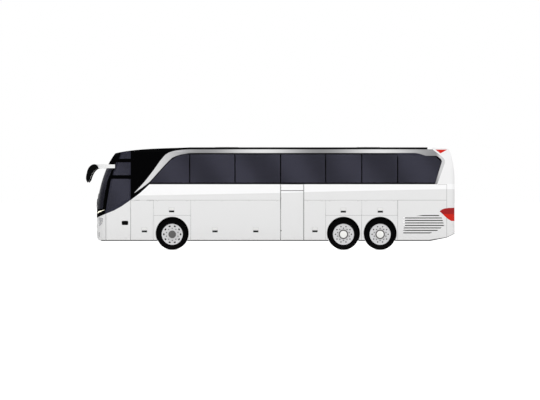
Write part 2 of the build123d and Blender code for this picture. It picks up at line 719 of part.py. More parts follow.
def staircase(start, depth, base, rise, count, thickness):
    """Side outlines of the steps of a flight as (run, height) points."""
    foot = start + depth
    slope = (count * rise - thickness) / (depth * (count - 1))
    steps = [((start, base), (start, base + rise), (foot, base + rise), (foot, base))]
    for i in range(1, count):
        near, far, top = start + i * depth, start + (i + 1) * depth, base + (i + 1) * rise
        low, high = base + (near - foot) * slope, base + (far - foot) * slope
        steps.append(((near, low), (near, top), (far, top), (far, high)))
    return steps


front_steps = [
    side_prism(step, STEP_Y, WELL_WALL_Y)
    for step in staircase(
        STEP_FRONT_X, STEP_DEPTH, ENTRY_HEIGHT, STEP_RISE, STEP_COUNT - 1, DECK_THICKNESS
    )
]

MID_STEP_DEPTH = 190.0
MID_STEP_COUNT = 5
MID_STEP_Y = -HALF + 120
MID_WELL_Y = MID_STEP_Y + MID_STEP_DEPTH * MID_STEP_COUNT
WELL_CLEARANCE = 12.0
mid_rise = (DECK_HEIGHT - BAY_FLOOR_HEIGHT) / MID_STEP_COUNT
mid_well_x0 = MID_DOOR_X + WELL_CLEARANCE
mid_well_x1 = MID_DOOR_X1 - WELL_CLEARANCE


def mid_step(outline):
    """One step of the middle stairs between the walls of their well."""
    with BuildPart() as step:
        with BuildSketch(Plane.YZ.offset(mid_well_x0 + WELL_WALL)):
            with BuildLine():
                Polyline(*outline, close=True)
            make_face()
        extrude(amount=mid_well_x1 - mid_well_x0 - 2 * WELL_WALL)
    return step.part


mid_steps = [
    mid_step(outline)
    for outline in staircase(
        MID_STEP_Y, MID_STEP_DEPTH, BAY_FLOOR_HEIGHT, mid_rise, MID_STEP_COUNT, DECK_THICKNESS
    )
]
mid_well_walls = [
    block(x, x + WELL_WALL, MID_STEP_Y, MID_WELL_Y, BAY_FLOOR_HEIGHT, DECK_HEIGHT)
    for x in (mid_well_x0, mid_well_x1 - WELL_WALL)
]
platform_y0 = WELL_WALL_Y + WELL_WALL
platform_z0 = PLATFORM_HEIGHT - PLATFORM_THICKNESS
stairwells = kept_apart([
    block(ENTRY_X, STEP_FRONT_X, ENTRY_Y, WELL_WALL_Y, BAY_FLOOR_HEIGHT, ENTRY_HEIGHT),
    block(STEP_FRONT_X, STEP_FRONT_X + STEP_DEPTH, STEP_Y, WELL_WALL_Y, BAY_FLOOR_HEIGHT, ENTRY_HEIGHT),
    block(ENTRY_X, DECK_FRONT_X, WELL_WALL_Y, platform_y0, BAY_FLOOR_HEIGHT, PLATFORM_HEIGHT),
    block(DASH_X[1] + DASH_EDGE, DECK_FRONT_X, WELL_WALL_Y, platform_y0, PLATFORM_HEIGHT, DECK_HEIGHT),
    block(ENTRY_X, DECK_FRONT_X, platform_y0, PLATFORM_Y, platform_z0, PLATFORM_HEIGHT),
    block(DECK_FRONT_X - WELL_WALL, DECK_FRONT_X, platform_y0, PLATFORM_Y, PLATFORM_HEIGHT, DECK_HEIGHT),
    block(ENTRY_X, ENTRY_X + WELL_WALL, platform_y0, PLATFORM_Y, BAY_FLOOR_HEIGHT, platform_z0),
    *front_steps,
    *mid_steps,
    *mid_well_walls,
])

deck_side = HALF - WALL - FLAP_CLEARANCE
LINING = 17.0
LINING_TOP = 1900.0
LINING_PAD = 70.0
lid_clear_x = BODY_REAR - WALL - FLAP_CLEARANCE
deck_rear_x = BODY_REAR - REAR_CORNER_RADIUS - FLAP_CLEARANCE
DOOR_REVEAL = 20.0
deck_bottom = DECK_HEIGHT - DECK_THICKNESS
floor_pieces = [
    block(DECK_FRONT_X, mid_well_x0, -deck_side, deck_side, deck_bottom, DECK_HEIGHT),
    block(mid_well_x0, mid_well_x1, MID_WELL_Y, deck_side, deck_bottom, DECK_HEIGHT),
    block(mid_well_x1, deck_rear_x, -deck_side, deck_side, deck_bottom, DECK_HEIGHT),
]
for side, x0, x1 in (
    (1, DECK_FRONT_X, REAR_CORNER_X),
    (-1, DECK_FRONT_X, MID_DOOR_X - DOOR_REVEAL),
    (-1, MID_DOOR_X1 + DOOR_REVEAL, REAR_CORNER_X),
):
    y0, y1 = sorted((side * deck_side, side * (deck_side - LINING)))
    floor_pieces.append(block(x0, x1, y0, y1, DECK_HEIGHT, LINING_TOP))
    y0, y1 = sorted((side * deck_side, side * (HALF - WALL)))
    floor_pieces.append(block(x0, x1, y0, y1, LINING_TOP - LINING_PAD, LINING_TOP))
cabin_floor = kept_apart(floor_pieces)

bay_faces = (
    (FRONT_BAY_X0 + FLAP_CLEARANCE, FRONT_BAY_X1 - FLAP_CLEARANCE),
    (REAR_BAY_X0 + FLAP_CLEARANCE, REAR_BAY_X1 - FLAP_CLEARANCE),
)
BEARER_Y = 480.0
BEARER_WIDTH = 50.0
FRONT_RAIL_Y = 250.0
FRONT_RAIL_WIDTH = 90.0
FRONT_RAIL_X = -6150.0
FRONT_RAIL_HEIGHT = 60.0
TOW_BEAM_DEPTH = 80.0
TOW_LUG_RADIUS = 60.0
TOW_PIN_RADIUS = 20.0
ENGINE_RAIL_Y = 560.0
ENGINE_RAIL_Z = 600.0
ENGINE_RAIL_HEIGHT = 60.0
ENGINE_RAIL_WIDTH = 60.0
ENGINE_X = (4950.0, 6350.0)
ENGINE_HALF_WIDTH = 480.0
ENGINE_TOP = 1400.0
ENGINE_MOUNTS = (5050.0, 6190.0)
ENGINE_MOUNT_WIDTH = 60.0
plate_side = HALF - WALL
DOOR_POST_DEPTH = 60.0

frame_pieces = []
for x0, x1 in bay_faces:
    for x in (x0, x1 - BULKHEAD):
        frame_pieces.append(
            block(x, x + BULKHEAD, -plate_side, plate_side, BAY_FLOOR_HEIGHT, WHEELHOUSE_TOP + BULKHEAD)
        )
        frame_pieces.append(
            block(x, x + BULKHEAD, -deck_side, deck_side, WHEELHOUSE_TOP + BULKHEAD, deck_bottom)
        )
    roof_x0, roof_x1 = x0 + BULKHEAD, x1 - BULKHEAD
    frame_pieces.append(
        block(roof_x0, roof_x1, -plate_side, plate_side, WHEELHOUSE_TOP, WHEELHOUSE_TOP + BULKHEAD)
    )
    for side in (-1, 1):
        y0, y1 = sorted((side * BEARER_Y, side * (BEARER_Y + BEARER_WIDTH)))
        frame_pieces.append(block(roof_x0, roof_x1, y0, y1, WHEELHOUSE_TOP + BULKHEAD, deck_bottom))
floor_x0, floor_x1 = bay_faces[0][1] - BULKHEAD, bay_faces[1][0] + BULKHEAD
floor_z0 = BAY_FLOOR_HEIGHT - BAY_FLOOR_THICKNESS
frame_pieces.append(block(floor_x0, floor_x1, -deck_side, deck_side, floor_z0, BAY_FLOOR_HEIGHT))
front_rail_z0 = BAY_FLOOR_HEIGHT - FRONT_RAIL_HEIGHT
engine_rail_top = ENGINE_RAIL_Z + ENGINE_RAIL_HEIGHT
for side in (-1, 1):
    y0, y1 = sorted((side * FRONT_RAIL_Y, side * (FRONT_RAIL_Y + FRONT_RAIL_WIDTH)))
    frame_pieces.append(
        block(FRONT_RAIL_X, bay_faces[0][0] + BULKHEAD, y0, y1, front_rail_z0, BAY_FLOOR_HEIGHT)
    )
    y0, y1 = sorted((side * ENGINE_RAIL_Y, side * (ENGINE_RAIL_Y + ENGINE_RAIL_WIDTH)))
    frame_pieces.append(block(bay_faces[1][1], lid_clear_x, y0, y1, ENGINE_RAIL_Z, engine_rail_top))
for x in ENGINE_MOUNTS:
    frame_pieces.append(
        block(x, x + ENGINE_MOUNT_WIDTH, -ENGINE_RAIL_Y, ENGINE_RAIL_Y, ENGINE_RAIL_Z, engine_rail_top)
    )

with BuildPart() as tow_beam:
    add(
        block(
            FRONT_RAIL_X, FRONT_RAIL_X + TOW_BEAM_DEPTH, -FRONT_RAIL_Y, FRONT_RAIL_Y,
            front_rail_z0, BAY_FLOOR_HEIGHT,
        )
    )
    with Locations((FRONT_RAIL_X, 0, BAY_FLOOR_HEIGHT - FRONT_RAIL_HEIGHT / 2)):
        Cylinder(TOW_LUG_RADIUS, FRONT_RAIL_HEIGHT)
        Cylinder(TOW_PIN_RADIUS, FRONT_RAIL_HEIGHT, mode=Mode.SUBTRACT)

with BuildPart() as door_jamb:
    jamb_y = -HALF + WALL + FLAP_CLEARANCE
    add(
        block(
            MID_DOOR_X - DOOR_POST_DEPTH, MID_DOOR_X - FLAP_CLEARANCE, jamb_y, jamb_y + DOOR_POST_DEPTH,
            BAY_FLOOR_HEIGHT, deck_bottom,
        )
    )
    lug_x0 = MID_DOOR_X + SEAM / 2
    lug_z0 = MID_DOOR_HINGES[0] - HINGE_LUG_WIDTH / 2
    lug_z1 = lug_z0 + HINGE_LUG_WIDTH
    add(block(MID_DOOR_X - DOOR_POST_DEPTH, lug_x0 + 2 * HINGE_RADIUS, jamb_y, jamb_y + 30, lug_z0, lug_z1))
    add(block(lug_x0, lug_x0 + 2 * HINGE_RADIUS, -HALF + HINGE_RADIUS, jamb_y, lug_z0, lug_z1))
    with Locations((lug_x0 + HINGE_RADIUS, -HALF + HINGE_RADIUS, MID_DOOR_HINGES[0])):
        Cylinder(HINGE_RADIUS, HINGE_LUG_WIDTH)
        Cylinder(HINGE_PIN_RADIUS + PIN_CLEARANCE, HINGE_LUG_WIDTH, mode=Mode.SUBTRACT)

underframe = kept_apart([*frame_pieces, tow_beam.part, door_jamb.part])

with BuildPart() as engine_block:
    add(
        block(
            *ENGINE_X, -ENGINE_HALF_WIDTH, ENGINE_HALF_WIDTH, ENGINE_RAIL_Z + ENGINE_RAIL_HEIGHT, ENGINE_TOP
        )
    )

# Seats
SEAT_BASE = 380.0
SEAT_JOIN = (150, 480)
SEAT_CUSHION = ((-250, SEAT_BASE), (-250, 500), SEAT_JOIN, (SEAT_JOIN[0], SEAT_BASE))
SEAT_BACK = (SEAT_CUSHION[-1], SEAT_JOIN, (255, 1130), (365, 1120), (290, 370))
SEAT_Y = (290.0, 750.0)
SEAT_RAIL = (-60.0, 60.0)
SEAT_RAIL_HEIGHT = 40.0
SEAT_LEG_WIDTH = 300.0


def seat(x, y, floor):
    """Cushion and back of one seat at x, with the inboard edge at y, on a floor."""
    return [
        side_prism([(x + dx, floor + dz) for dx, dz in outline], y, y + SEAT_WIDTH)
        for outline in (SEAT_CUSHION, SEAT_BACK)
    ]


def pedestal(x, middle_y, rail_width, floor):
    """Leg under the middle of a cross rail that carries the seats."""
    x0, x1 = x + SEAT_RAIL[0], x + SEAT_RAIL[1]
    rail_z = floor + SEAT_BASE - SEAT_RAIL_HEIGHT
    return [
        block(x0, x1, middle_y - rail_width / 2, middle_y + rail_width / 2, rail_z, floor + SEAT_BASE),
        block(x0, x1, middle_y - SEAT_LEG_WIDTH / 2, middle_y + SEAT_LEG_WIDTH / 2, floor, rail_z),
    ]


pair_width = SEAT_Y[1] + SEAT_WIDTH - SEAT_Y[0]
right_pair = [
    *seat(0, SEAT_Y[0], DECK_HEIGHT),
    *seat(0, SEAT_Y[1], DECK_HEIGHT),
    *pedestal(0, SEAT_Y[0] + pair_width / 2, pair_width, DECK_HEIGHT),
]
left_pair = [mirror(piece, about=Plane.XZ) for piece in right_pair]
seat_rows = [SEAT_FIRST_X + SEAT_PITCH * i for i in range(SEAT_ROWS)]
stair_middle = (MID_DOOR_X + MID_DOOR_X1) / 2
seat_pieces = [piece.moved(Location((x, 0, 0))) for x in seat_rows for piece in right_pair]
seat_pieces += [
    piece.moved(Location((x, 0, 0)))
    for x in seat_rows
    if abs(x - stair_middle) > SEAT_PITCH * 0.7
    for piece in left_pair
]
passenger_seats = kept_apart(seat_pieces)
driver_seat = kept_apart([
    *seat(DRIVER_SEAT_X, DRIVER_Y - SEAT_WIDTH / 2, PLATFORM_HEIGHT),
    *pedestal(DRIVER_SEAT_X, DRIVER_Y, SEAT_LEG_WIDTH, PLATFORM_HEIGHT),
])

# Mirrors
MIRROR_HEAD_OUTER = ((-6300, 3025), (-6456, 3137), (-6640, 3020), (-6725, 2789), (-6745, 2584), (-6680, 2460))
MIRROR_HEAD_INNER = ((-6610, 2550), (-6545, 2738), (-6456, 2885), (-6300, 2995))
MIRROR_ARM_Y = (-1345.0, -1285.0)
MIRROR_HEAD_Y = (-1420.0, -1215.0)
MIRROR_ARM = ((-5690, 2990), (-5690, 3125), (-6330, 3137), (-6430, 3060), (-6430, 2990))
MIRROR_ROOT = (-5790.0, -5690.0, -1120.0)

with BuildPart() as mirror_head:
    with BuildSketch(Plane.XZ.offset(-MIRROR_HEAD_Y[1])):
        with BuildLine():
            Spline(*MIRROR_HEAD_OUTER)
            Line(MIRROR_HEAD_OUTER[-1], MIRROR_HEAD_INNER[0])
            Spline(*MIRROR_HEAD_INNER)
            Line(MIRROR_HEAD_INNER[-1], MIRROR_HEAD_OUTER[0])
        make_face()
    extrude(amount=MIRROR_HEAD_Y[1] - MIRROR_HEAD_Y[0])

with BuildPart() as mirror_arm:
    add(side_prism(MIRROR_ARM, *MIRROR_ARM_Y))
    add(
        block(
            MIRROR_ROOT[0], MIRROR_ROOT[1], MIRROR_ARM_Y[0], MIRROR_ROOT[2],
            MIRROR_ARM[0][1], MIRROR_ARM[1][1] - 20,
        )
    )
    add(outer_body, mode=Mode.SUBTRACT)
    add(mirror_head.part, mode=Mode.SUBTRACT)

with BuildPart() as mirror_arms:
    add(both_sides(mirror_arm.part))

with BuildPart() as mirror_heads:
    add(both_sides(mirror_head.part))

# Wheels: modelled on +Z with the outer tyre face at z = 0
RIM_WALL = 12.0
DISC_DEPTH = 34.0
DISC_THICKNESS = 14.0
HUB_SLEEVE_RADIUS = 110.0
HUB_DEPTH = 78.0
FRONT_HUB_RADIUS = 139.0
FRONT_HOLE_CIRCLE = 307.0
FRONT_HOLE_SIZE = (22.0, 30.0)
REAR_HOLE_CIRCLE = 294.0
REAR_HOLE_RADIUS = 22.0
HAND_HOLES = 10
REAR_HUB_INNER = 131.0
REAR_HUB_OUTER = 168.0
HUB_CAP_DEPTH = 8.0
HUB_RING_STEP = 8.0


def tyre(outer_z):
    """One tyre with its outer face at outer_z."""
    low, high = outer_z - TYRE_WIDTH, outer_z
    shoulder = TYRE_RADIUS - TYRE_SHOULDER
    with BuildPart() as ring:
        with BuildSketch(Plane.XZ):
            with BuildLine():
                Polyline(
                    (RIM_RADIUS, high - 8),
                    (shoulder - 60, high),
                    (shoulder, high - 8),
                    (TYRE_RADIUS, high - TYRE_SHOULDER),
                    (TYRE_RADIUS, low + TYRE_SHOULDER),
                    (shoulder, low + 8),
                    (shoulder - 60, low),
                    (RIM_RADIUS, low + 8),
                    close=True,
                )
            make_face()
        revolve(axis=Axis.Z)
    return ring.part


def barrel(outer_z):
    """Rim tube under one tyre."""
    with BuildPart() as tube:
        with Locations((0, 0, outer_z - 8)):
            Cylinder(RIM_RADIUS, TYRE_WIDTH - 16, align=(Align.CENTER, Align.CENTER, Align.MAX))
            Cylinder(
                RIM_RADIUS - RIM_WALL, TYRE_WIDTH - 16,
                align=(Align.CENTER, Align.CENTER, Align.MAX), mode=Mode.SUBTRACT,
            )
    return tube.part


def wheel_disc(steered, twin):
    """Rim with its disc, hub and hand holes, for one tyre or a pair."""
    spread = TYRE_WIDTH + TWIN_GAP
    top = (Align.CENTER, Align.CENTER, Align.MAX)
    depth = HUB_DEPTH + (spread if twin else 0)
    inner_disc = -spread - DISC_DEPTH
    with BuildPart() as rim:
        add(barrel(0))
        with Locations((0, 0, -DISC_DEPTH)):
            Cylinder(RIM_RADIUS - RIM_WALL / 2, DISC_THICKNESS, align=top)
            Cylinder(HUB_SLEEVE_RADIUS, depth - DISC_DEPTH, align=top)
        if twin:
            add(barrel(-spread))
            with Locations((0, 0, inner_disc)):
                Cylinder(RIM_RADIUS - RIM_WALL / 2, DISC_THICKNESS, align=top)
        if steered:
            with BuildSketch(Plane.XY.offset(-DISC_DEPTH - 2 * DISC_THICKNESS)):
                with PolarLocations(FRONT_HOLE_CIRCLE, HAND_HOLES):
                    Ellipse(*FRONT_HOLE_SIZE)
            extrude(amount=3 * DISC_THICKNESS, mode=Mode.SUBTRACT)
        else:
            with PolarLocations(REAR_HOLE_CIRCLE, HAND_HOLES):
                Cylinder(REAR_HOLE_RADIUS, 2 * (DISC_DEPTH + DISC_THICKNESS), mode=Mode.SUBTRACT)
        with Locations((0, 0, -depth)):
            Cylinder(
                HUB_BORE_RADIUS + PIN_CLEARANCE, depth - DISC_DEPTH - DISC_THICKNESS,
                align=(Align.CENTER, Align.CENTER, Align.MIN), mode=Mode.SUBTRACT,
            )
        if steered:
            with Locations((0, 0, -DISC_DEPTH)):
                Cylinder(FRONT_HUB_RADIUS, DISC_DEPTH - HUB_CAP_DEPTH, align=(Align.CENTER, Align.CENTER, Align.MIN))
        else:
            with BuildSketch(Plane.XZ):
                with BuildLine():
                    Polyline(
                        (0, -HUB_CAP_DEPTH),
                        (0, -DISC_DEPTH - DISC_THICKNESS / 2),
                        (REAR_HUB_OUTER, -DISC_DEPTH - DISC_THICKNESS / 2),
                        (REAR_HUB_OUTER, -DISC_DEPTH + HUB_RING_STEP),
                        (REAR_HUB_INNER, -DISC_DEPTH + HUB_RING_STEP),
                    )
                    TangentArc(
                        (0, -HUB_CAP_DEPTH), (REAR_HUB_INNER, -DISC_DEPTH + HUB_RING_STEP), tangent=(1, 0)
                    )
                make_face()
            revolve(axis=Axis.Z)
    return rim.part


def wheel_place(x):
    """Place of a left wheel whose outer face stands inside the body side."""
    return Location((x, -HALF + TYRE_INSET, AXLE_Z), (90, 0, 0))


twin_offset = TYRE_WIDTH + TWIN_GAP
wheel_parts = {
    "front": (FRONT_AXLE_X, wheel_disc(True, False), tyre(0)),
    "drive": (DRIVE_AXLE_X, wheel_disc(False, True), union([tyre(0), tyre(-twin_offset)])),
    "tag": (TAG_AXLE_X, wheel_disc(False, False), tyre(0)),
}
wheels = {}
for name, (x, rim, rubber) in wheel_parts.items():
    left_rim = rim.moved(wheel_place(x))
    left_tyre = rubber.moved(wheel_place(x))
    wheels[f"{name}_wheel_left"] = left_rim
    wheels[f"{name}_wheel_right"] = mirror(left_rim, about=Plane.XZ)
    wheels[f"{name}_tyre_left"] = left_tyre
    wheels[f"{name}_tyre_right"] = mirror(left_tyre, about=Plane.XZ)

# Steering knuckles and axles
KINGPIN_RADIUS = 25.0
KNUCKLE_HALF_WIDTH = 50.0
KNUCKLE_PLATE = (52.0, 72.0)
FORK_LOW = (-135.0, -60.0)
FORK_HIGH = (60.0, 135.0)
EYE_RADIUS = 40.0
EYE_HALF_HEIGHT = 54.0
BEAM_HALF_WIDTH = 35.0
SPRING_Y = 430.0
SPRING_RADIUS = 100.0
AXLE_TUBE_RADIUS = 85.0
DIFFERENTIAL_RADIUS = 230.0
TAG_TUBE_RADIUS = 60.0
SPINDLE_END_GAP = 4.0
outer_face_y = -HALF + TYRE_INSET
kingpin_y = outer_face_y + TYRE_WIDTH / 2
spindle_end_y = outer_face_y + DISC_DEPTH + DISC_THICKNESS + SPINDLE_END_GAP

with BuildPart() as knuckle_left:
    for z0, z1 in (FORK_LOW, FORK_HIGH):
        add(
            block(
                FRONT_AXLE_X - KNUCKLE_HALF_WIDTH, FRONT_AXLE_X + KNUCKLE_HALF_WIDTH,
                kingpin_y - KNUCKLE_PLATE[1], kingpin_y + EYE_RADIUS, AXLE_Z + z0, AXLE_Z + z1,
            )
        )
    add(
        block(
            FRONT_AXLE_X - KNUCKLE_HALF_WIDTH, FRONT_AXLE_X + KNUCKLE_HALF_WIDTH,
            kingpin_y - KNUCKLE_PLATE[1], kingpin_y - KNUCKLE_PLATE[0], AXLE_Z + FORK_LOW[0], AXLE_Z + FORK_HIGH[1],
        )
    )
    with Locations((FRONT_AXLE_X, kingpin_y, AXLE_Z)):
        Cylinder(KINGPIN_RADIUS, FORK_HIGH[1] - FORK_LOW[0])
    plate_y = kingpin_y - KNUCKLE_PLATE[0]
    with Locations(Location((FRONT_AXLE_X, (spindle_end_y + plate_y) / 2, AXLE_Z), (90, 0, 0))):
        Cylinder(HUB_BORE_RADIUS, plate_y - spindle_end_y)

with BuildPart() as knuckle_right:
    add(mirror(knuckle_left.part, about=Plane.XZ))


def springs(x, low):
    """Air springs of one axle, from the axle up to the wheelhouse roof."""
    with BuildPart() as pair:
        with Locations((x, -SPRING_Y, low), (x, SPRING_Y, low)):
            Cylinder(SPRING_RADIUS, WHEELHOUSE_TOP - low, align=(Align.CENTER, Align.CENTER, Align.MIN))
    return pair.part


with BuildPart() as front_axle:
    add(
        block(
            FRONT_AXLE_X - BEAM_HALF_WIDTH, FRONT_AXLE_X + BEAM_HALF_WIDTH,
            kingpin_y, -kingpin_y, AXLE_Z - EYE_HALF_HEIGHT, AXLE_Z + EYE_HALF_HEIGHT,
        )
    )
    with Locations((FRONT_AXLE_X, kingpin_y, AXLE_Z), (FRONT_AXLE_X, -kingpin_y, AXLE_Z)):
        Cylinder(EYE_RADIUS, 2 * EYE_HALF_HEIGHT)
        Cylinder(KINGPIN_RADIUS + PIN_CLEARANCE, 2 * EYE_HALF_HEIGHT, mode=Mode.SUBTRACT)
    add(springs(FRONT_AXLE_X, AXLE_Z))

with BuildPart() as drive_axle:
    with Locations(Location((DRIVE_AXLE_X, 0, AXLE_Z), (90, 0, 0))):
        Cylinder(HUB_BORE_RADIUS, -2 * spindle_end_y)
    inner_y = -outer_face_y - 2 * TYRE_WIDTH - TWIN_GAP
    with Locations(Location((DRIVE_AXLE_X, 0, AXLE_Z), (90, 0, 0))):
        Cylinder(AXLE_TUBE_RADIUS, 2 * inner_y)
    with Locations((DRIVE_AXLE_X, 0, AXLE_Z)):
        Sphere(DIFFERENTIAL_RADIUS)
    add(springs(DRIVE_AXLE_X, AXLE_Z))

with BuildPart() as tag_axle:
    with Locations(Location((TAG_AXLE_X, 0, AXLE_Z), (90, 0, 0))):
        Cylinder(HUB_BORE_RADIUS, -2 * spindle_end_y)
        Cylinder(TAG_TUBE_RADIUS, 2 * (-outer_face_y - TYRE_WIDTH))
    add(springs(TAG_AXLE_X, AXLE_Z))

# Naming and export
pieces = {
    "front_panel": front_panel.part,
    "windscreen": windscreen.part,
    "head_lamps": head_lamps.part,
    "side_panel_left": side_panel_left.part,
    "side_panel_right": side_panel_right.part,
    "side_windows_left": side_windows_left.part,
    "side_windows_right": side_windows_right.part,
    "side_grilles": side_grilles.part,
    "roof_panel": roof_panel.part,
    "rear_panel": rear_panel.part,
    "rear_window": rear_window.part,
    "tail_lamps": tail_lamps.part,
    "engine_lid": engine_lid.part,
    "front_door": front_door.part,
    "front_door_glass": front_door_glass.part,
    "front_door_arm": front_door_arm.part,
    "door_post": door_post.part,
    "mid_door": mid_door.part,
    "dashboard": dashboard.part,
    "steering_wheel": steering_wheel.part,
    "stairwells": stairwells,
    "cabin_floor": cabin_floor,
    "underframe": underframe,
    "engine_block": engine_block.part,
    "passenger_seats": passenger_seats,
    "driver_seat": driver_seat,
    "mirror_arms": mirror_arms.part,
    "mirror_heads": mirror_heads.part,
    "knuckle_left": knuckle_left.part,
    "knuckle_right": knuckle_right.part,
    "front_axle": front_axle.part,
    "drive_axle": drive_axle.part,
    "tag_axle": tag_axle.part,
    **wheels,
}
for name, flap in flaps.items():
    if name != "centre_flap":
        pieces[f"{name}_left"] = flap
    pieces[f"{name}_right"] = mirror(flap, about=Plane.XZ)

os.makedirs("parts", exist_ok=True)
for name, piece in pieces.items():
    piece.label = name
    export_step(piece, f"parts/{name}.step")
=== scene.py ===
"""Looks of a three-axle high-deck touring coach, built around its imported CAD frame.

Metres, +Z up, the front points to -X and the left side is at -Y.
"""

import json
import logging
import math
from dataclasses import dataclass
from enum import Enum
from functools import reduce
from typing import ClassVar, Iterable, Sequence

import bmesh
import bpy
from mathutils import Matrix, Vector
from mathutils.bvhtree import BVHTree

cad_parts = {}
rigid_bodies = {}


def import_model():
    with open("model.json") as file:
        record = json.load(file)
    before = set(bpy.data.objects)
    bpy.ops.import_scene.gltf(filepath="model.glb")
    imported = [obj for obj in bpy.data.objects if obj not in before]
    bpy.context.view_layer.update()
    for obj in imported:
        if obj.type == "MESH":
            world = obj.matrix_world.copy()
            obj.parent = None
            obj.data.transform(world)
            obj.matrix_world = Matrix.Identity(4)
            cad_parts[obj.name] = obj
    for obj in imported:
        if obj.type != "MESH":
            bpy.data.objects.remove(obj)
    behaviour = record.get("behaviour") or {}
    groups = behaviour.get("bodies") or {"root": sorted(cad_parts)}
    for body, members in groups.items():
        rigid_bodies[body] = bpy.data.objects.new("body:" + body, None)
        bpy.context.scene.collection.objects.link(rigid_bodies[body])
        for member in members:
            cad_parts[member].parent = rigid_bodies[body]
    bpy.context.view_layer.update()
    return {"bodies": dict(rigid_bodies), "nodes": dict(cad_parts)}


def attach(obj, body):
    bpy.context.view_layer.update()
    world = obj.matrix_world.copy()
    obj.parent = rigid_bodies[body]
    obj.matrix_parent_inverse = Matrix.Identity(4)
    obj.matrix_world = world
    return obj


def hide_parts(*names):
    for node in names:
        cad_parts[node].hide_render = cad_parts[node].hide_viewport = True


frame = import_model()
LOG = logging.getLogger("coach")

Pair = tuple[float, float]
Triple = tuple[float, float, float]
Socket = bpy.types.NodeSocket
Value = Socket | float

HALF_WIDTH = 1.275
ROOF_TOP = 3.755
AXLE_HEIGHT = 0.569
TYRE_RADIUS = 0.569
TYRE_FACE_Y = 1.245
AXLE_X = {"front": -3.594, "drive": 2.674, "tag": 4.017}


def grey(value: float) -> Triple:
    """A grey of one value."""
    return (value, value, value)


class Side(Enum):
    """A side of the coach, with the sign of its Y."""

    LEFT = -1
    RIGHT = 1

    @property
    def word(self) -> str:
        """Ending of the node and body names on this side."""
        return self.name.lower()


# Shader graphs


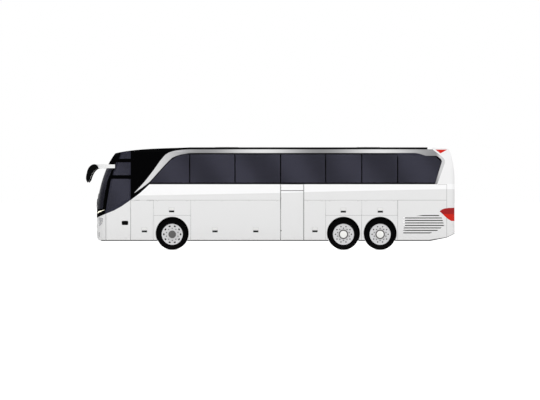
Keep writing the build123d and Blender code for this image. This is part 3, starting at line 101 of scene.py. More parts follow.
class Graph:
    """A node tree that is filled in a few words."""

    def __init__(self, tree: bpy.types.NodeTree) -> None:
        """Keeps the tree.

        Args:
            tree: Node tree that the nodes go in.
        """
        self.tree = tree

    def node(self, kind: str, values: Sequence | dict = (), **settings: object) -> bpy.types.Node:
        """Adds a node.

        Args:
            kind: Blender's name of the node type.
            values: Sockets or constants for its inputs, by place or by name.
            **settings: Properties of the node.

        Returns:
            The new node.
        """
        made = self.tree.nodes.new(kind)
        for name, value in settings.items():
            setattr(made, name, value)
        pairs = values.items() if isinstance(values, dict) else enumerate(values)
        for key, value in pairs:
            if isinstance(value, Socket):
                self.tree.links.new(value, made.inputs[key])
            elif value is not None:
                made.inputs[key].default_value = value
        return made

    def math(self, operation: str, *values: Value) -> Socket:
        """Result of a Math node on sockets or numbers."""
        return self.node("ShaderNodeMath", values, operation=operation).outputs[0]

    def all_of(self, *masks: Value) -> Value:
        """Places that are in every mask."""
        return reduce(lambda first, second: self.math("MULTIPLY", first, second), masks)

    def any_of(self, *masks: Value) -> Value:
        """Places that are in at least one mask."""
        return reduce(lambda first, second: self.math("MAXIMUM", first, second), masks)

    def length(self, first: Value, second: Value) -> Socket:
        """Length of the long side of a right triangle."""
        squares = (self.math("MULTIPLY", side, side) for side in (first, second))
        return self.math("SQRT", self.math("ADD", *squares))

    def step(self, value: Value, low: float, high: float, smooth: bool = False) -> Socket:
        """Rises from 0 at low to 1 at high, clamped.

        Args:
            value: Socket to test.
            low: Value at which the result is 0.
            high: Value at which the result is 1.
            smooth: Whether the ends are rounded.

        Returns:
            The result's socket.
        """
        kind = "SMOOTHSTEP" if smooth else "LINEAR"
        return self.node("ShaderNodeMapRange", (value, low, high), interpolation_type=kind).outputs[0]

    def scaled(self, value: Value, low: float, high: float) -> Socket:
        """Turns 0..1 into low..high."""
        return self.node("ShaderNodeMapRange", (value, 0.0, 1.0, low, high)).outputs[0]

    def blend(self, factor: Value, first: Socket | Triple, second: Socket | Triple) -> Socket:
        """Mixes two colours.

        Args:
            factor: Share of the second colour.
            first: Colour or socket.
            second: Colour or socket.

        Returns:
            The mixed colour's socket.
        """
        made = self.node("ShaderNodeMix", {0: factor}, data_type="RGBA")
        for place, value in ((6, first), (7, second)):
            if isinstance(value, Socket):
                self.tree.links.new(value, made.inputs[place])
            else:
                made.inputs[place].default_value = (*value, 1.0)
        return made.outputs[2]

    def object_place(self) -> Socket:
        """Place on the object, in metres."""
        return self.node("ShaderNodeTexCoord").outputs["Object"]

    def axes(self, vector: Socket) -> list[Socket]:
        """The x, y and z of a vector."""
        return list(self.node("ShaderNodeSeparateXYZ", (vector,)).outputs)

    def noise(self, vector: Socket, scale: float, detail: float = 3.0) -> Socket:
        """Noise from 0 to 1.

        Args:
            vector: Place at which it is read.
            scale: Lumps in a metre.
            detail: Octaves.

        Returns:
            The noise's socket.
        """
        made = self.node("ShaderNodeTexNoise", {"Vector": vector, "Scale": scale, "Detail": detail})
        return made.outputs["Fac"]

    def profile(self, value: Socket, points: Sequence[Pair]) -> Socket:
        """Straight runs through (in, out) points, held level past both ends.

        Args:
            value: Socket that is looked up.
            points: Corners of the line, rising in their first value.

        Returns:
            The socket of the looked-up value.
        """
        ins = [a for a, _ in points]
        outs = [b for _, b in points]
        low, high = min(outs), max(outs)
        share = self.step(value, ins[0], ins[-1])
        made = self.node("ShaderNodeFloatCurve", {"Value": share})
        line = made.mapping.curves[0]
        spots = [((a - ins[0]) / (ins[-1] - ins[0]), (b - low) / (high - low)) for a, b in points]
        line.points[0].location, line.points[1].location = spots[0], spots[-1]
        for spot in spots[1:-1]:
            line.points.new(*spot)
        for point in line.points:
            point.handle_type = "VECTOR"
        made.mapping.update()
        return self.scaled(made.outputs[0], low, high)

    def use(self, group: bpy.types.NodeTree, **inputs: Value) -> bpy.types.Node:
        """Places a node group with its own values.

        Args:
            group: The group's tree.
            **inputs: Values for its inputs by name, with _ for a space.

        Returns:
            The group's node.
        """
        made = self.node("ShaderNodeGroup", node_tree=group)
        for name, value in inputs.items():
            socket = made.inputs[name.replace("_", " ")]
            if isinstance(value, Socket):
                self.tree.links.new(value, socket)
            else:
                socket.default_value = value
        return made


class Effect:
    """A shader node group with named inputs and outputs, built once."""

    made: ClassVar[dict[str, bpy.types.NodeTree]] = {}
    name: ClassVar[str] = ""
    inputs: ClassVar[tuple[tuple[str, float], ...]] = ()
    outputs: ClassVar[tuple[tuple[str, str], ...]] = ()

    def build(self, graph: Graph, given: dict, result: bpy.types.Node) -> None:
        """Fills the group.

        Args:
            graph: The group's graph.
            given: Its input sockets by name.
            result: Its output node.
        """
        raise NotImplementedError

    @classmethod
    def tree(cls) -> bpy.types.NodeTree:
        """The group's tree, made at its first use.

        Returns:
            The shared node tree.
        """
        if cls.name not in Effect.made:
            tree = bpy.data.node_groups.new(cls.name, "ShaderNodeTree")
            for label, value in cls.inputs:
                socket = tree.interface.new_socket(label, in_out="INPUT", socket_type="NodeSocketFloat")
                socket.default_value = value
            for label, kind in cls.outputs:
                tree.interface.new_socket(label, in_out="OUTPUT", socket_type=f"NodeSocket{kind}")
            start = tree.nodes.new("NodeGroupInput")
            end = tree.nodes.new("NodeGroupOutput")
            cls().build(Graph(tree), {s.name: s for s in start.outputs}, end)
            Effect.made[cls.name] = tree
        return Effect.made[cls.name]


class RoadFilm(Effect):
    """Dust thrown up from the road: full at the ground, gone at a height."""

    name = "road_film"
    inputs = (("Top", 1.2), ("Amount", 0.3))
    outputs = (("Mask", "Float"),)

    def build(self, graph: Graph, given: dict, result: bpy.types.Node) -> None:
        """Fades a cloudy mask upwards.

        Args:
            graph: The group's graph.
            given: Its input sockets by name.
            result: Its output node.
        """
        place = graph.object_place()
        height = graph.math("DIVIDE", graph.axes(place)[2], given["Top"])
        low = graph.step(height, 1.0, 0.0, smooth=True)
        cloud = graph.step(graph.noise(place, 2.3, 6.0), 0.35, 0.75)
        drawn = graph.node("ShaderNodeMapping", {"Vector": place, "Scale": (6.0, 6.0, 0.5)}).outputs[0]
        streak = graph.scaled(graph.noise(drawn, 1.0, 4.0), 0.4, 1.0)
        mask = graph.all_of(low, graph.scaled(cloud, 0.45, 1.0), streak, given["Amount"])
        graph.tree.links.new(mask, result.inputs["Mask"])


class SurfaceGrain(Effect):
    """Uneven sheen and a fine relief, as on any painted or moulded face."""

    name = "surface_grain"
    inputs = (("Scale", 400.0), ("Smudge", 1.5))
    outputs = (("Relief", "Float"), ("Sheen", "Float"))

    def build(self, graph: Graph, given: dict, result: bpy.types.Node) -> None:
        """Two noises, one fine and one broad.

        Args:
            graph: The group's graph.
            given: Its input sockets by name.
            result: Its output node.
        """
        place = graph.object_place()
        fine = graph.node("ShaderNodeTexNoise", {"Vector": place, "Scale": given["Scale"], "Detail": 2.0})
        broad = graph.node("ShaderNodeTexNoise", {"Vector": place, "Scale": given["Smudge"], "Detail": 5.0})
        graph.tree.links.new(fine.outputs["Fac"], result.inputs["Relief"])
        graph.tree.links.new(broad.outputs["Fac"], result.inputs["Sheen"])


class Scuffs(Effect):
    """Short pale scratches, as on wheels, sills and steps."""

    name = "scuffs"
    inputs = (("Scale", 30.0), ("Amount", 0.3))
    outputs = (("Mask", "Float"),)

    def build(self, graph: Graph, given: dict, result: bpy.types.Node) -> None:
        """Thin cell borders, broken up by noise.

        Args:
            graph: The group's graph.
            given: Its input sockets by name.
            result: Its output node.
        """
        place = graph.object_place()
        bent = graph.node(
            "ShaderNodeMapping", {"Vector": place, "Rotation": (0.5, 0.3, 0.8), "Scale": (1.0, 5.0, 2.0)}
        )
        cells = graph.node(
            "ShaderNodeTexVoronoi", {"Vector": bent.outputs[0], "Scale": given["Scale"]},
            feature="DISTANCE_TO_EDGE",
        )
        line = graph.step(cells.outputs["Distance"], 0.03, 0.0)
        rare = graph.step(graph.noise(place, 5.0, 4.0), 0.55, 0.7)
        graph.tree.links.new(graph.all_of(line, rare, given["Amount"]), result.inputs["Mask"])


class Weave(Effect):
    """Woven cloth: crossing threads with a small check."""

    name = "weave"
    inputs = (("Scale", 260.0),)
    outputs = (("Relief", "Float"), ("Check", "Float"))
    threads: ClassVar[float] = 6.0
    checks: ClassVar[float] = 95.0

    def build(self, graph: Graph, given: dict, result: bpy.types.Node) -> None:
        """Two sets of threads and a check pattern on the piece's own place.

        Args:
            graph: The group's graph.
            given: Its input sockets by name.
            result: Its output node.
        """
        place = graph.object_place()
        x, y, z = graph.axes(place)
        up = graph.math("ADD", x, z)
        across, along = (
            graph.math("SINE", graph.all_of(run, given["Scale"], self.threads)) for run in (y, up)
        )
        graph.tree.links.new(graph.math("MULTIPLY", across, along), result.inputs["Relief"])
        wide, tall = (graph.math("SINE", graph.math("MULTIPLY", run, self.checks)) for run in (y, up))
        check = graph.step(graph.math("ADD", wide, tall), 0.3, 0.9)
        graph.tree.links.new(check, result.inputs["Check"])


class Livery(Effect):
    """Which paint covers a place on the coachwork: white, black or silver, and where the painted highlight
    along the top of the side falls.
    """

    name = "livery"
    outputs = tuple((label, "Float") for label in ("White", "Silver", "Sill", "Upper", "Slate", "Seam"))
    edge: ClassVar[float] = 0.004
    crease_edge: ClassVar[float] = 0.008
    seam_edge: ClassVar[float] = 0.002
    diagonal: ClassVar[tuple[Pair, ...]] = (
        (-6.38, 1.172), (-6.046, 1.314), (-5.710, 1.449), (-5.446, 1.596), (-5.102, 1.835), (-4.794, 2.064),
        (-4.551, 2.284), (-4.425, 2.401), (-4.2, 2.402),
    )
    swoosh_top: ClassVar[tuple[Pair, ...]] = (
        (-4.974, 2.097), (-4.904, 2.174), (-4.799, 2.284), (-4.600, 2.503), (-4.426, 2.723),
        (-4.261, 2.943), (-4.105, 3.162), (-4.027, 3.272), (-3.936, 3.382), (-3.855, 3.475),
        (-3.730, 3.558), (-3.583, 3.607), (-3.437, 3.639), (-3.144, 3.673), (-2.9, 3.682),
    )
    swoosh_low: ClassVar[tuple[Pair, ...]] = (
        (-4.963, 2.090), (-4.850, 2.174), (-4.688, 2.284), (-4.540, 2.394), (-4.409, 2.503),
        (-4.114, 2.833), (-3.917, 3.052), (-3.709, 3.272), (-3.585, 3.381), (-3.437, 3.443),
        (-3.290, 3.490), (-3.144, 3.516), (-2.998, 3.540), (-2.9, 3.546),
    )
    band_tail: ClassVar[tuple[Pair, ...]] = (
        (5.25, 3.556), (5.45, 3.52), (5.68, 3.445), (6.05, 3.444), (6.1, 3.443)
    )
    pane_edge: ClassVar[tuple[Pair, ...]] = (
        (2.40, 6.02), (3.18, 6.262), (3.25, 6.277), (3.33, 6.235), (3.42, 6.12), (3.48, 6.02),
    )
    trim_edge: ClassVar[tuple[Pair, ...]] = (
        (2.40, 6.105), (3.18, 6.383), (3.28, 6.383), (3.35, 6.335), (3.44, 6.24), (3.52, 6.14),
        (3.69, 5.92),
    )
    # Painted highlight: above this line the side is given a lighter white, as if catching the sky.
    crease: ClassVar[tuple[Pair, ...]] = ((-4.736, 1.991), (0.315, 2.083), (1.852, 2.130), (6.426, 2.225))
    black_end: ClassVar[float] = 5.75
    roof_side: ClassVar[float] = 1.02
    roof_front: ClassVar[float] = -2.95
    roof_foot: ClassVar[float] = 3.70
    rear_border: ClassVar[Triple] = (1.02, 2.44, 3.33)
    rear_face: ClassVar[float] = 6.46
    sill_front: ClassVar[float] = -6.2
    # Painted shade: behind the tail trim, above corner_foot, the side's painted highlight is weakened by
    # the share corner_shade.
    corner_foot: ClassVar[float] = 2.42
    corner_shade: ClassVar[float] = 0.55
    sill_top: ClassVar[tuple[Pair, ...]] = ((5.80, 0.364), (6.453, 0.470), (6.74, 0.600))
    door_edge: ClassVar[tuple[Pair, ...]] = (
        (1.40, -6.05), (1.534, -6.013), (2.595, -5.838), (2.745, -5.783), (3.203, -5.651), (3.342, -5.545),
        (3.56, -5.465),
    )
    door_bars: ClassVar[tuple[Pair, ...]] = ((2.595, 2.740), (3.205, 3.338))
    door_rear: ClassVar[float] = -5.115
    door_top: ClassVar[float] = 3.60
    tail_frit: ClassVar[tuple[Pair, Pair]] = ((4.64, 5.78), (3.42, 3.56))
    seam_shade: ClassVar[float] = 0.45
    seams: ClassVar[tuple[tuple[Pair, Pair], ...]] = (
        ((-5.127, -5.107), (0.36, 1.80)), ((3.328, 3.348), (0.36, 1.28)), ((4.649, 4.669), (0.36, 1.82)),
        ((6.442, 6.462), (0.47, 2.405)), ((4.66, 6.45), (1.809, 1.829)), ((-5.10, -4.28), (1.809, 1.829)),
        ((6.13, 6.45), (2.385, 2.405)),
    )
    door_seams: ClassVar[tuple[tuple[Pair, Pair], ...]] = (
        ((0.360, 0.384), (0.34, 2.40)), ((1.208, 1.232), (0.34, 2.40)), ((0.372, 1.220), (2.158, 2.184)),
    )

    def build(self, graph: Graph, given: dict, result: bpy.types.Node) -> None:
        """Compares the place with the livery's lines.

        Args:
            graph: The group's graph.
            given: Its input sockets by name.
            result: Its output node.
        """
        x, y, z = graph.axes(graph.object_place())

        def past(value: Value, line: Value, width: float = self.edge) -> Socket:
            """1 where value is past the line, 0 before it."""
            return graph.step(graph.math("SUBTRACT", value, line), -width, width)

        def other(mask: Socket) -> Socket:
            """Places that are not in the mask."""
            return graph.math("SUBTRACT", 1.0, mask)

        def inside(value: Socket, span: Pair) -> Socket:
            """Places between the two ends of a span."""
            return graph.all_of(past(value, span[0], self.seam_edge), past(span[1], value, self.seam_edge))

        above_belt = past(z, graph.profile(x, self.diagonal))
        top = graph.profile(x, self.swoosh_top)
        low = graph.math("MINIMUM", graph.profile(x, self.swoosh_low), graph.profile(x, self.band_tail))
        below_top = past(top, z)
        behind = past(x, graph.profile(z, self.trim_edge))
        band = graph.all_of(past(z, low), below_top, past(x, self.swoosh_top[0][0]))
        tail_trim = graph.all_of(past(x, graph.profile(z, self.pane_edge)), below_top, above_belt)
        silver = graph.all_of(graph.any_of(band, tail_trim), other(behind), above_belt)
        side = graph.math("ABSOLUTE", y)
        roof_middle = graph.all_of(
            past(self.roof_side, side), past(x, self.roof_front), past(z, self.roof_foot)
        )
        tail_roof = graph.all_of(past(x, self.black_end), past(z, top))
        half, bottom, ceiling = self.rear_border
        border = graph.all_of(past(half, side), past(z, bottom), past(ceiling, z), past(x, self.rear_face))
        painted = graph.any_of(other(above_belt), graph.all_of(behind, below_top), roof_middle, tail_roof)
        white = graph.all_of(painted, other(border))
        sill = graph.all_of(past(graph.profile(x, self.sill_top), z), past(x, self.sill_front))
        # Painted highlight along the top of the side, above the crease line, dimmed by painted shade in the
        # rear corner.
        corner = graph.all_of(behind, past(z, self.corner_foot), self.corner_shade)
        highlight = graph.all_of(past(z, graph.profile(x, self.crease), self.crease_edge), other(corner))
        bars = [other(inside(z, bar)) for bar in self.door_bars]
        front_edge = past(x, graph.profile(z, self.door_edge))
        door = graph.all_of(front_edge, past(self.door_rear, x), above_belt, past(self.door_top, z), *bars)
        frit = graph.all_of(inside(x, self.tail_frit[0]), inside(z, self.tail_frit[1]), other(silver))
        slate = graph.any_of(door, frit)
        left = past(0.0, y)
        faint = [graph.all_of(self.seam_shade, inside(x, run), inside(z, rise)) for run, rise in self.seams]
        strong = [graph.all_of(inside(x, run), inside(z, rise), left) for run, rise in self.door_seams]
        seam = graph.any_of(*faint, *strong)
        masks = {
            "White": white, "Silver": silver, "Sill": sill, "Upper": highlight, "Slate": slate, "Seam": seam
        }
        for label, mask in masks.items():
            graph.tree.links.new(mask, result.inputs[label])


# Finishes


@dataclass(frozen=True)
class Finish:
    """A surface finish that gives one material."""

    name: str
    slot: str
    made: ClassVar[dict[str, bpy.types.Material]] = {}

    def shade(self, graph: Graph, shader: bpy.types.Node) -> None:
        """Wires the pattern in the shader.

        Args:
            graph: The material's graph.
            shader: Its Principled BSDF.
        """
        raise NotImplementedError

    def material(self) -> bpy.types.Material:
        """The material, made at its first use.

        Returns:
            The shared material.
        """
        if self.name not in Finish.made:
            made = bpy.data.materials.new(self.name)
            made.use_nodes = True
            tree = made.node_tree
            tree.nodes.clear()
            graph = Graph(tree)
            shader = graph.node("ShaderNodeBsdfPrincipled")
            target = graph.node("ShaderNodeOutputMaterial")
            tree.links.new(shader.outputs[0], target.inputs["Surface"])
            self.shade(graph, shader)
            Finish.made[self.name] = made
        return Finish.made[self.name]

    def relief(
        self, graph: Graph, shader: bpy.types.Node, height: Socket, strength: float, depth: float
    ) -> None:
        """Feeds a height to the shader's normal.

        Args:
            graph: The material's graph.
            shader: Its Principled BSDF.
            height: Socket of the height.
            strength: Share of the relief that shows.
            depth: Height of the relief in metres.
        """
        bump = graph.node("ShaderNodeBump", {"Strength": strength, "Distance": depth, "Height": height})
        graph.tree.links.new(bump.outputs[0], shader.inputs["Normal"])


@dataclass(frozen=True)
class Coachwork(Finish):
    """Painted body panels in white, black and silver under clear lacquer, with a painted highlight along
    the top of the side and painted glints along the silver.
    """

    white: Triple = grey(0.80)
    # Painted highlight: the lighter white of the side above the crease line.
    bright: Triple = (0.955, 0.955, 0.96)
    slate: Triple = (0.030, 0.030, 0.044)
    seam: Triple = grey(0.16)
    black: Triple = (0.0012, 0.0012, 0.0014)
    # Painted reflections: the silver is mixed from silver to shine by a cosine along the coach (glint,
    # glint_crest, glint_pitch) and lightened again near the tail (tail_shine).
    silver: Triple = (0.16, 0.16, 0.165)
    shine: Triple = (0.74, 0.74, 0.745)
    glint: Pair = (0.47, 0.37)
    glint_crest: float = -0.31
    glint_pitch: float = 4.32
    tail_shine: Triple = (6.06, 6.20, 0.55)
    sill: Triple = (0.055, 0.055, 0.058)
    dust: Triple = (0.42, 0.38, 0.33)

    def shade(self, graph: Graph, shader: bpy.types.Node) -> None:
        """Paints the livery, its painted highlight and glints, a trace of road film and orange peel.

        Args:
            graph: The material's graph.
            shader: Its Principled BSDF.
        """
        masks = graph.use(Livery.tree()).outputs
        grain = graph.use(SurfaceGrain.tree(), Scale=260.0, Smudge=0.9).outputs
        film = graph.use(RoadFilm.tree(), Top=1.0, Amount=0.10).outputs["Mask"]
        # Painted highlight: the side above the crease line takes the lighter white.
        paint = graph.blend(masks["Upper"], self.white, self.bright)
        flake = graph.noise(graph.object_place(), 900.0, 1.0)
        # Painted glints: the silver lightens and darkens along the coach in a cosine and lightens again
        # near the tail.
        along = graph.axes(graph.object_place())[0]
        turn = graph.math(
            "MULTIPLY", graph.math("SUBTRACT", along, self.glint_crest), math.tau / self.glint_pitch
        )
        glint = graph.math("MULTIPLY_ADD", graph.math("COSINE", turn), self.glint[1], self.glint[0])
        begin, full, extra = self.tail_shine
        glint = graph.math("MULTIPLY_ADD", graph.step(along, begin, full), extra, glint)
        metal = graph.blend(graph.math("MULTIPLY_ADD", flake, 0.12, glint), self.silver, self.shine)
        dark = graph.blend(masks["Silver"], self.black, metal)
        paint = graph.blend(masks["White"], graph.blend(masks["Slate"], dark, self.slate), paint)
        paint = graph.blend(masks["Seam"], paint, self.seam)
        paint = graph.blend(masks["Sill"], paint, self.sill)
        paint = graph.blend(film, paint, self.dust)
        link = graph.tree.links.new
        link(paint, shader.inputs["Base Color"])
        rough = graph.math("MULTIPLY_ADD", film, 0.6, graph.scaled(grain["Sheen"], 0.26, 0.42))
        link(rough, shader.inputs["Roughness"])
        link(graph.math("MULTIPLY", masks["Silver"], 0.25), shader.inputs["Metallic"])
        link(graph.scaled(masks["White"], 0.012, 0.12), shader.inputs["Coat Weight"])
        shader.inputs["Coat Roughness"].default_value = 0.06
        shader.inputs["Specular IOR Level"].default_value = 0.0
        self.relief(graph, shader, grain["Relief"], 0.05, 0.0004)


@dataclass(frozen=True)
class Painted(Finish):
    """One colour of paint or moulded plastic, with grain, smudges and scuffs."""

    colour: Triple = grey(0.5)
    worn: Triple = grey(0.6)
    rough: Pair = (0.35, 0.5)
    metal: float = 0.0
    grain: float = 500.0
    depth: float = 0.0003
    film: Pair = (0.9, 0.0)
    scuff: float = 0.25
    gloss: float = 0.3
    dust: Triple = (0.34, 0.31, 0.27)

    def shade(self, graph: Graph, shader: bpy.types.Node) -> None:
        """Shades the colour with broad smudges, scratches and dust.

        Args:
            graph: The material's graph.
            shader: Its Principled BSDF.
        """
        grain = graph.use(SurfaceGrain.tree(), Scale=self.grain, Smudge=3.0).outputs
        wear = graph.use(Scuffs.tree(), Scale=24.0, Amount=self.scuff).outputs["Mask"]
        film = graph.use(RoadFilm.tree(), Top=self.film[0], Amount=self.film[1]).outputs["Mask"]
        darker, lighter = (tuple(min(1.0, c * share) for c in self.colour) for share in (0.9, 1.08))
        tint = graph.blend(grain["Sheen"], darker, lighter)
        tint = graph.blend(film, graph.blend(wear, tint, self.worn), self.dust)
        link = graph.tree.links.new
        link(tint, shader.inputs["Base Color"])
        link(graph.math("ADD", graph.scaled(grain["Sheen"], *self.rough), film), shader.inputs["Roughness"])
        shader.inputs["Metallic"].default_value = self.metal
        shader.inputs["Specular IOR Level"].default_value = self.gloss
        self.relief(graph, shader, grain["Relief"], 0.25, self.depth)


@dataclass(frozen=True)
class WheelPaint(Finish):
    """Painted steel disc with a hub of another colour and painted shadows at the hand holes, centred on one
    axle.
    """

    axle_x: float = 0.0
    rings: tuple[tuple[float, Triple], ...] = ()
    disc: Triple = (0.74, 0.74, 0.75)
    # Painted shadow spots at the hand holes: radius of their circle, half height, half width.
    holes: Triple = (0.307, 0.030, 0.042)
    hole_count: int = 10
    hole_paint: Triple = grey(0.03)
    dust: Triple = (0.20, 0.17, 0.15)
    dust_span: Pair = (0.40, 0.16)
    scratch: Triple = grey(0.25)

    def shade(self, graph: Graph, shader: bpy.types.Node) -> None:
        """Paints rings by their distance from the axle and dark painted shadow spots over the hand holes,
        with brake dust between.

        Args:
            graph: The material's graph.
            shader: Its Principled BSDF.
        """
        place = graph.object_place()
        x, _, z = graph.axes(place)
        dx = graph.math("SUBTRACT", x, self.axle_x)
        dz = graph.math("SUBTRACT", z, AXLE_HEIGHT)
        radius = graph.length(dx, dz)
        grain = graph.use(SurfaceGrain.tree(), Scale=350.0, Smudge=7.0).outputs
        wear = graph.use(Scuffs.tree(), Scale=60.0, Amount=0.25).outputs["Mask"]
        colour = graph.blend(grain["Sheen"], tuple(c * 0.85 for c in self.disc), self.disc)
        # Painted shadow: dark ovals over the hand holes, so that they read larger and deeper than the
        # disc's openings.
        turn = graph.math("MULTIPLY", graph.math("ARCTAN2", dz, dx), self.hole_count / math.tau)
        share = graph.math("SUBTRACT", graph.math("FRACT", graph.math("ADD", turn, 0.5)), 0.5)
        circle, tall, wide = self.holes
        across = graph.math("MULTIPLY", share, math.tau * circle / self.hole_count / wide)
        outward = graph.math("DIVIDE", graph.math("SUBTRACT", radius, circle), tall)
        colour = graph.blend(graph.step(graph.length(across, outward), 1.05, 0.9), colour, self.hole_paint)
        for edge, tint in self.rings:
            colour = graph.blend(graph.step(radius, edge + 0.002, edge - 0.002), colour, tint)
        near_drum = graph.step(radius, *self.dust_span, smooth=True)
        dusty = graph.math("MULTIPLY", near_drum, graph.scaled(grain["Sheen"], 0.0, 0.22))
        colour = graph.blend(wear, graph.blend(dusty, colour, self.dust), self.scratch)
        link = graph.tree.links.new
        link(colour, shader.inputs["Base Color"])
        link(graph.scaled(grain["Sheen"], 0.28, 0.5), shader.inputs["Roughness"])
        shader.inputs["Metallic"].default_value = 0.15
        shader.inputs["Specular IOR Level"].default_value = 0.4
        self.relief(graph, shader, grain["Relief"], 0.15, 0.0004)


@dataclass(frozen=True)
class Glass(Finish):
    """Tinted laminated glass with faint slanting painted reflections."""

    tint: Triple = (0.041, 0.041, 0.064)
    # Painted reflection: the lighter colour of the slanting bands on the pane.
    sheen: Triple = (0.074, 0.074, 0.110)
    clear: float = 0.55
    gloss: float = 0.10
    bend: float = 1.30
    slant: float = 0.8
    frit: Pair = (9.0, 9.1)
    frit_paint: Triple = (0.0015, 0.0015, 0.0018)

    def shade(self, graph: Graph, shader: bpy.types.Node) -> None:
        """Tints the glass, with painted reflections as lighter broad slanting bands.

        Args:
            graph: The material's graph.
            shader: Its Principled BSDF.
        """
        place = graph.object_place()
        x, _, z = graph.axes(place)
        # Painted reflection: slanting bands of the sheen colour drawn across the pane by place.
        run = graph.math("MULTIPLY_ADD", x, 1.2, graph.math("MULTIPLY", z, self.slant))
        wave = graph.math("SINE", graph.math("MULTIPLY", run, 2.3))
        cloud = graph.noise(place, 0.7, 2.0)
        band = graph.step(
            graph.math("ADD", graph.math("MULTIPLY", wave, 0.5), cloud), -0.1, 1.1, smooth=True
        )
        link = graph.tree.links.new
        frit = graph.step(z, *self.frit)
        pane = graph.blend(band, self.tint, self.sheen)
        link(graph.blend(frit, pane, self.frit_paint), shader.inputs["Base Color"])
        smear = graph.scaled(graph.noise(place, 6.0, 5.0), 0.01, 0.06)
        link(graph.math("MULTIPLY_ADD", frit, 0.3, smear), shader.inputs["Roughness"])
        link(graph.scaled(frit, self.clear, 0.0), shader.inputs["Transmission Weight"])
        shader.inputs["IOR"].default_value = self.bend
        shader.inputs["Specular IOR Level"].default_value = self.gloss


@dataclass(frozen=True)
class Lens(Finish):
    """Moulded lamp lens with ribs, of another tone between two heights."""

    colour: Triple = grey(0.8)
    deep: Triple = grey(0.6)
    clear: float = 0.0
    pitch: float = 0.03
    coat: float = 0.4
    dark: tuple[Pair, Triple] = ((9.0, 9.1), grey(0.0))

    def shade(self, graph: Graph, shader: bpy.types.Node) -> None:
        """Ribs the lens and darkens it between segments.

        Args:
            graph: The material's graph.
            shader: Its Principled BSDF.
        """
        place = graph.object_place()
        x, y, z = graph.axes(place)
        runs = (graph.math("MULTIPLY_ADD", x, 0.3, z), graph.math("ADD", y, x))
        rib, cross = (
            graph.math("SINE", graph.math("MULTIPLY", run, math.tau / self.pitch)) for run in runs
        )
        cells = graph.step(graph.math("MULTIPLY", rib, cross), -0.8, 0.8)
        link = graph.tree.links.new
        (low, high), tone = self.dark
        zone = graph.all_of(graph.step(z, low - 0.01, low + 0.01), graph.step(z, high + 0.01, high - 0.01))
        link(
            graph.blend(zone, graph.blend(cells, self.deep, self.colour), tone), shader.inputs["Base Color"]
        )
        link(graph.scaled(graph.noise(place, 20.0, 3.0), 0.04, 0.12), shader.inputs["Roughness"])
        shader.inputs["Transmission Weight"].default_value = self.clear
        shader.inputs["IOR"].default_value = 1.2
        shader.inputs["Coat Weight"].default_value = self.coat
        self.relief(graph, shader, rib, 0.3, 0.0015)


@dataclass(frozen=True)
class Glow(Finish):
    """Lamp element that shines a little by itself."""

    colour: Triple = (1.0, 0.95, 0.8)
    power: float = 0.6

    def shade(self, graph: Graph, shader: bpy.types.Node) -> None:
        """Cells of light along the element.

        Args:
            graph: The material's graph.
            shader: Its Principled BSDF.
        """
        cells = graph.node("ShaderNodeTexVoronoi", {"Vector": graph.object_place(), "Scale": 45.0})
        far = graph.step(cells.outputs["Distance"], 0.0, 0.9)
        tone = graph.blend(far, self.colour, tuple(c * 0.8 for c in self.colour))
        graph.tree.links.new(tone, shader.inputs["Base Color"])
        graph.tree.links.new(tone, shader.inputs["Emission Color"])
        shader.inputs["Emission Strength"].default_value = self.power
        shader.inputs["Roughness"].default_value = 0.3


@dataclass(frozen=True)
class Cloth(Finish):
    """Woven seat cloth with a small check."""

    ground: Triple = (0.035, 0.045, 0.075)
    check: Triple = (0.09, 0.11, 0.17)

    def shade(self, graph: Graph, shader: bpy.types.Node) -> None:
        """Weaves the cloth, paler where it is rubbed.

        Args:
            graph: The material's graph.
            shader: Its Principled BSDF.
        """
        weave = graph.use(Weave.tree(), Scale=180.0).outputs
        grain = graph.use(SurfaceGrain.tree(), Scale=90.0, Smudge=4.0).outputs
        tone = graph.blend(weave["Check"], self.ground, self.check)
        tone = graph.blend(graph.scaled(grain["Sheen"], 0.0, 0.3), tone, tuple(c * 1.8 for c in self.check))
        graph.tree.links.new(tone, shader.inputs["Base Color"])
        graph.tree.links.new(graph.scaled(grain["Sheen"], 0.8, 0.98), shader.inputs["Roughness"])
        shader.inputs["Sheen Weight"].default_value = 0.25
        shader.inputs["Specular IOR Level"].default_value = 0.1
        self.relief(graph, shader, weave["Relief"], 0.5, 0.0006)


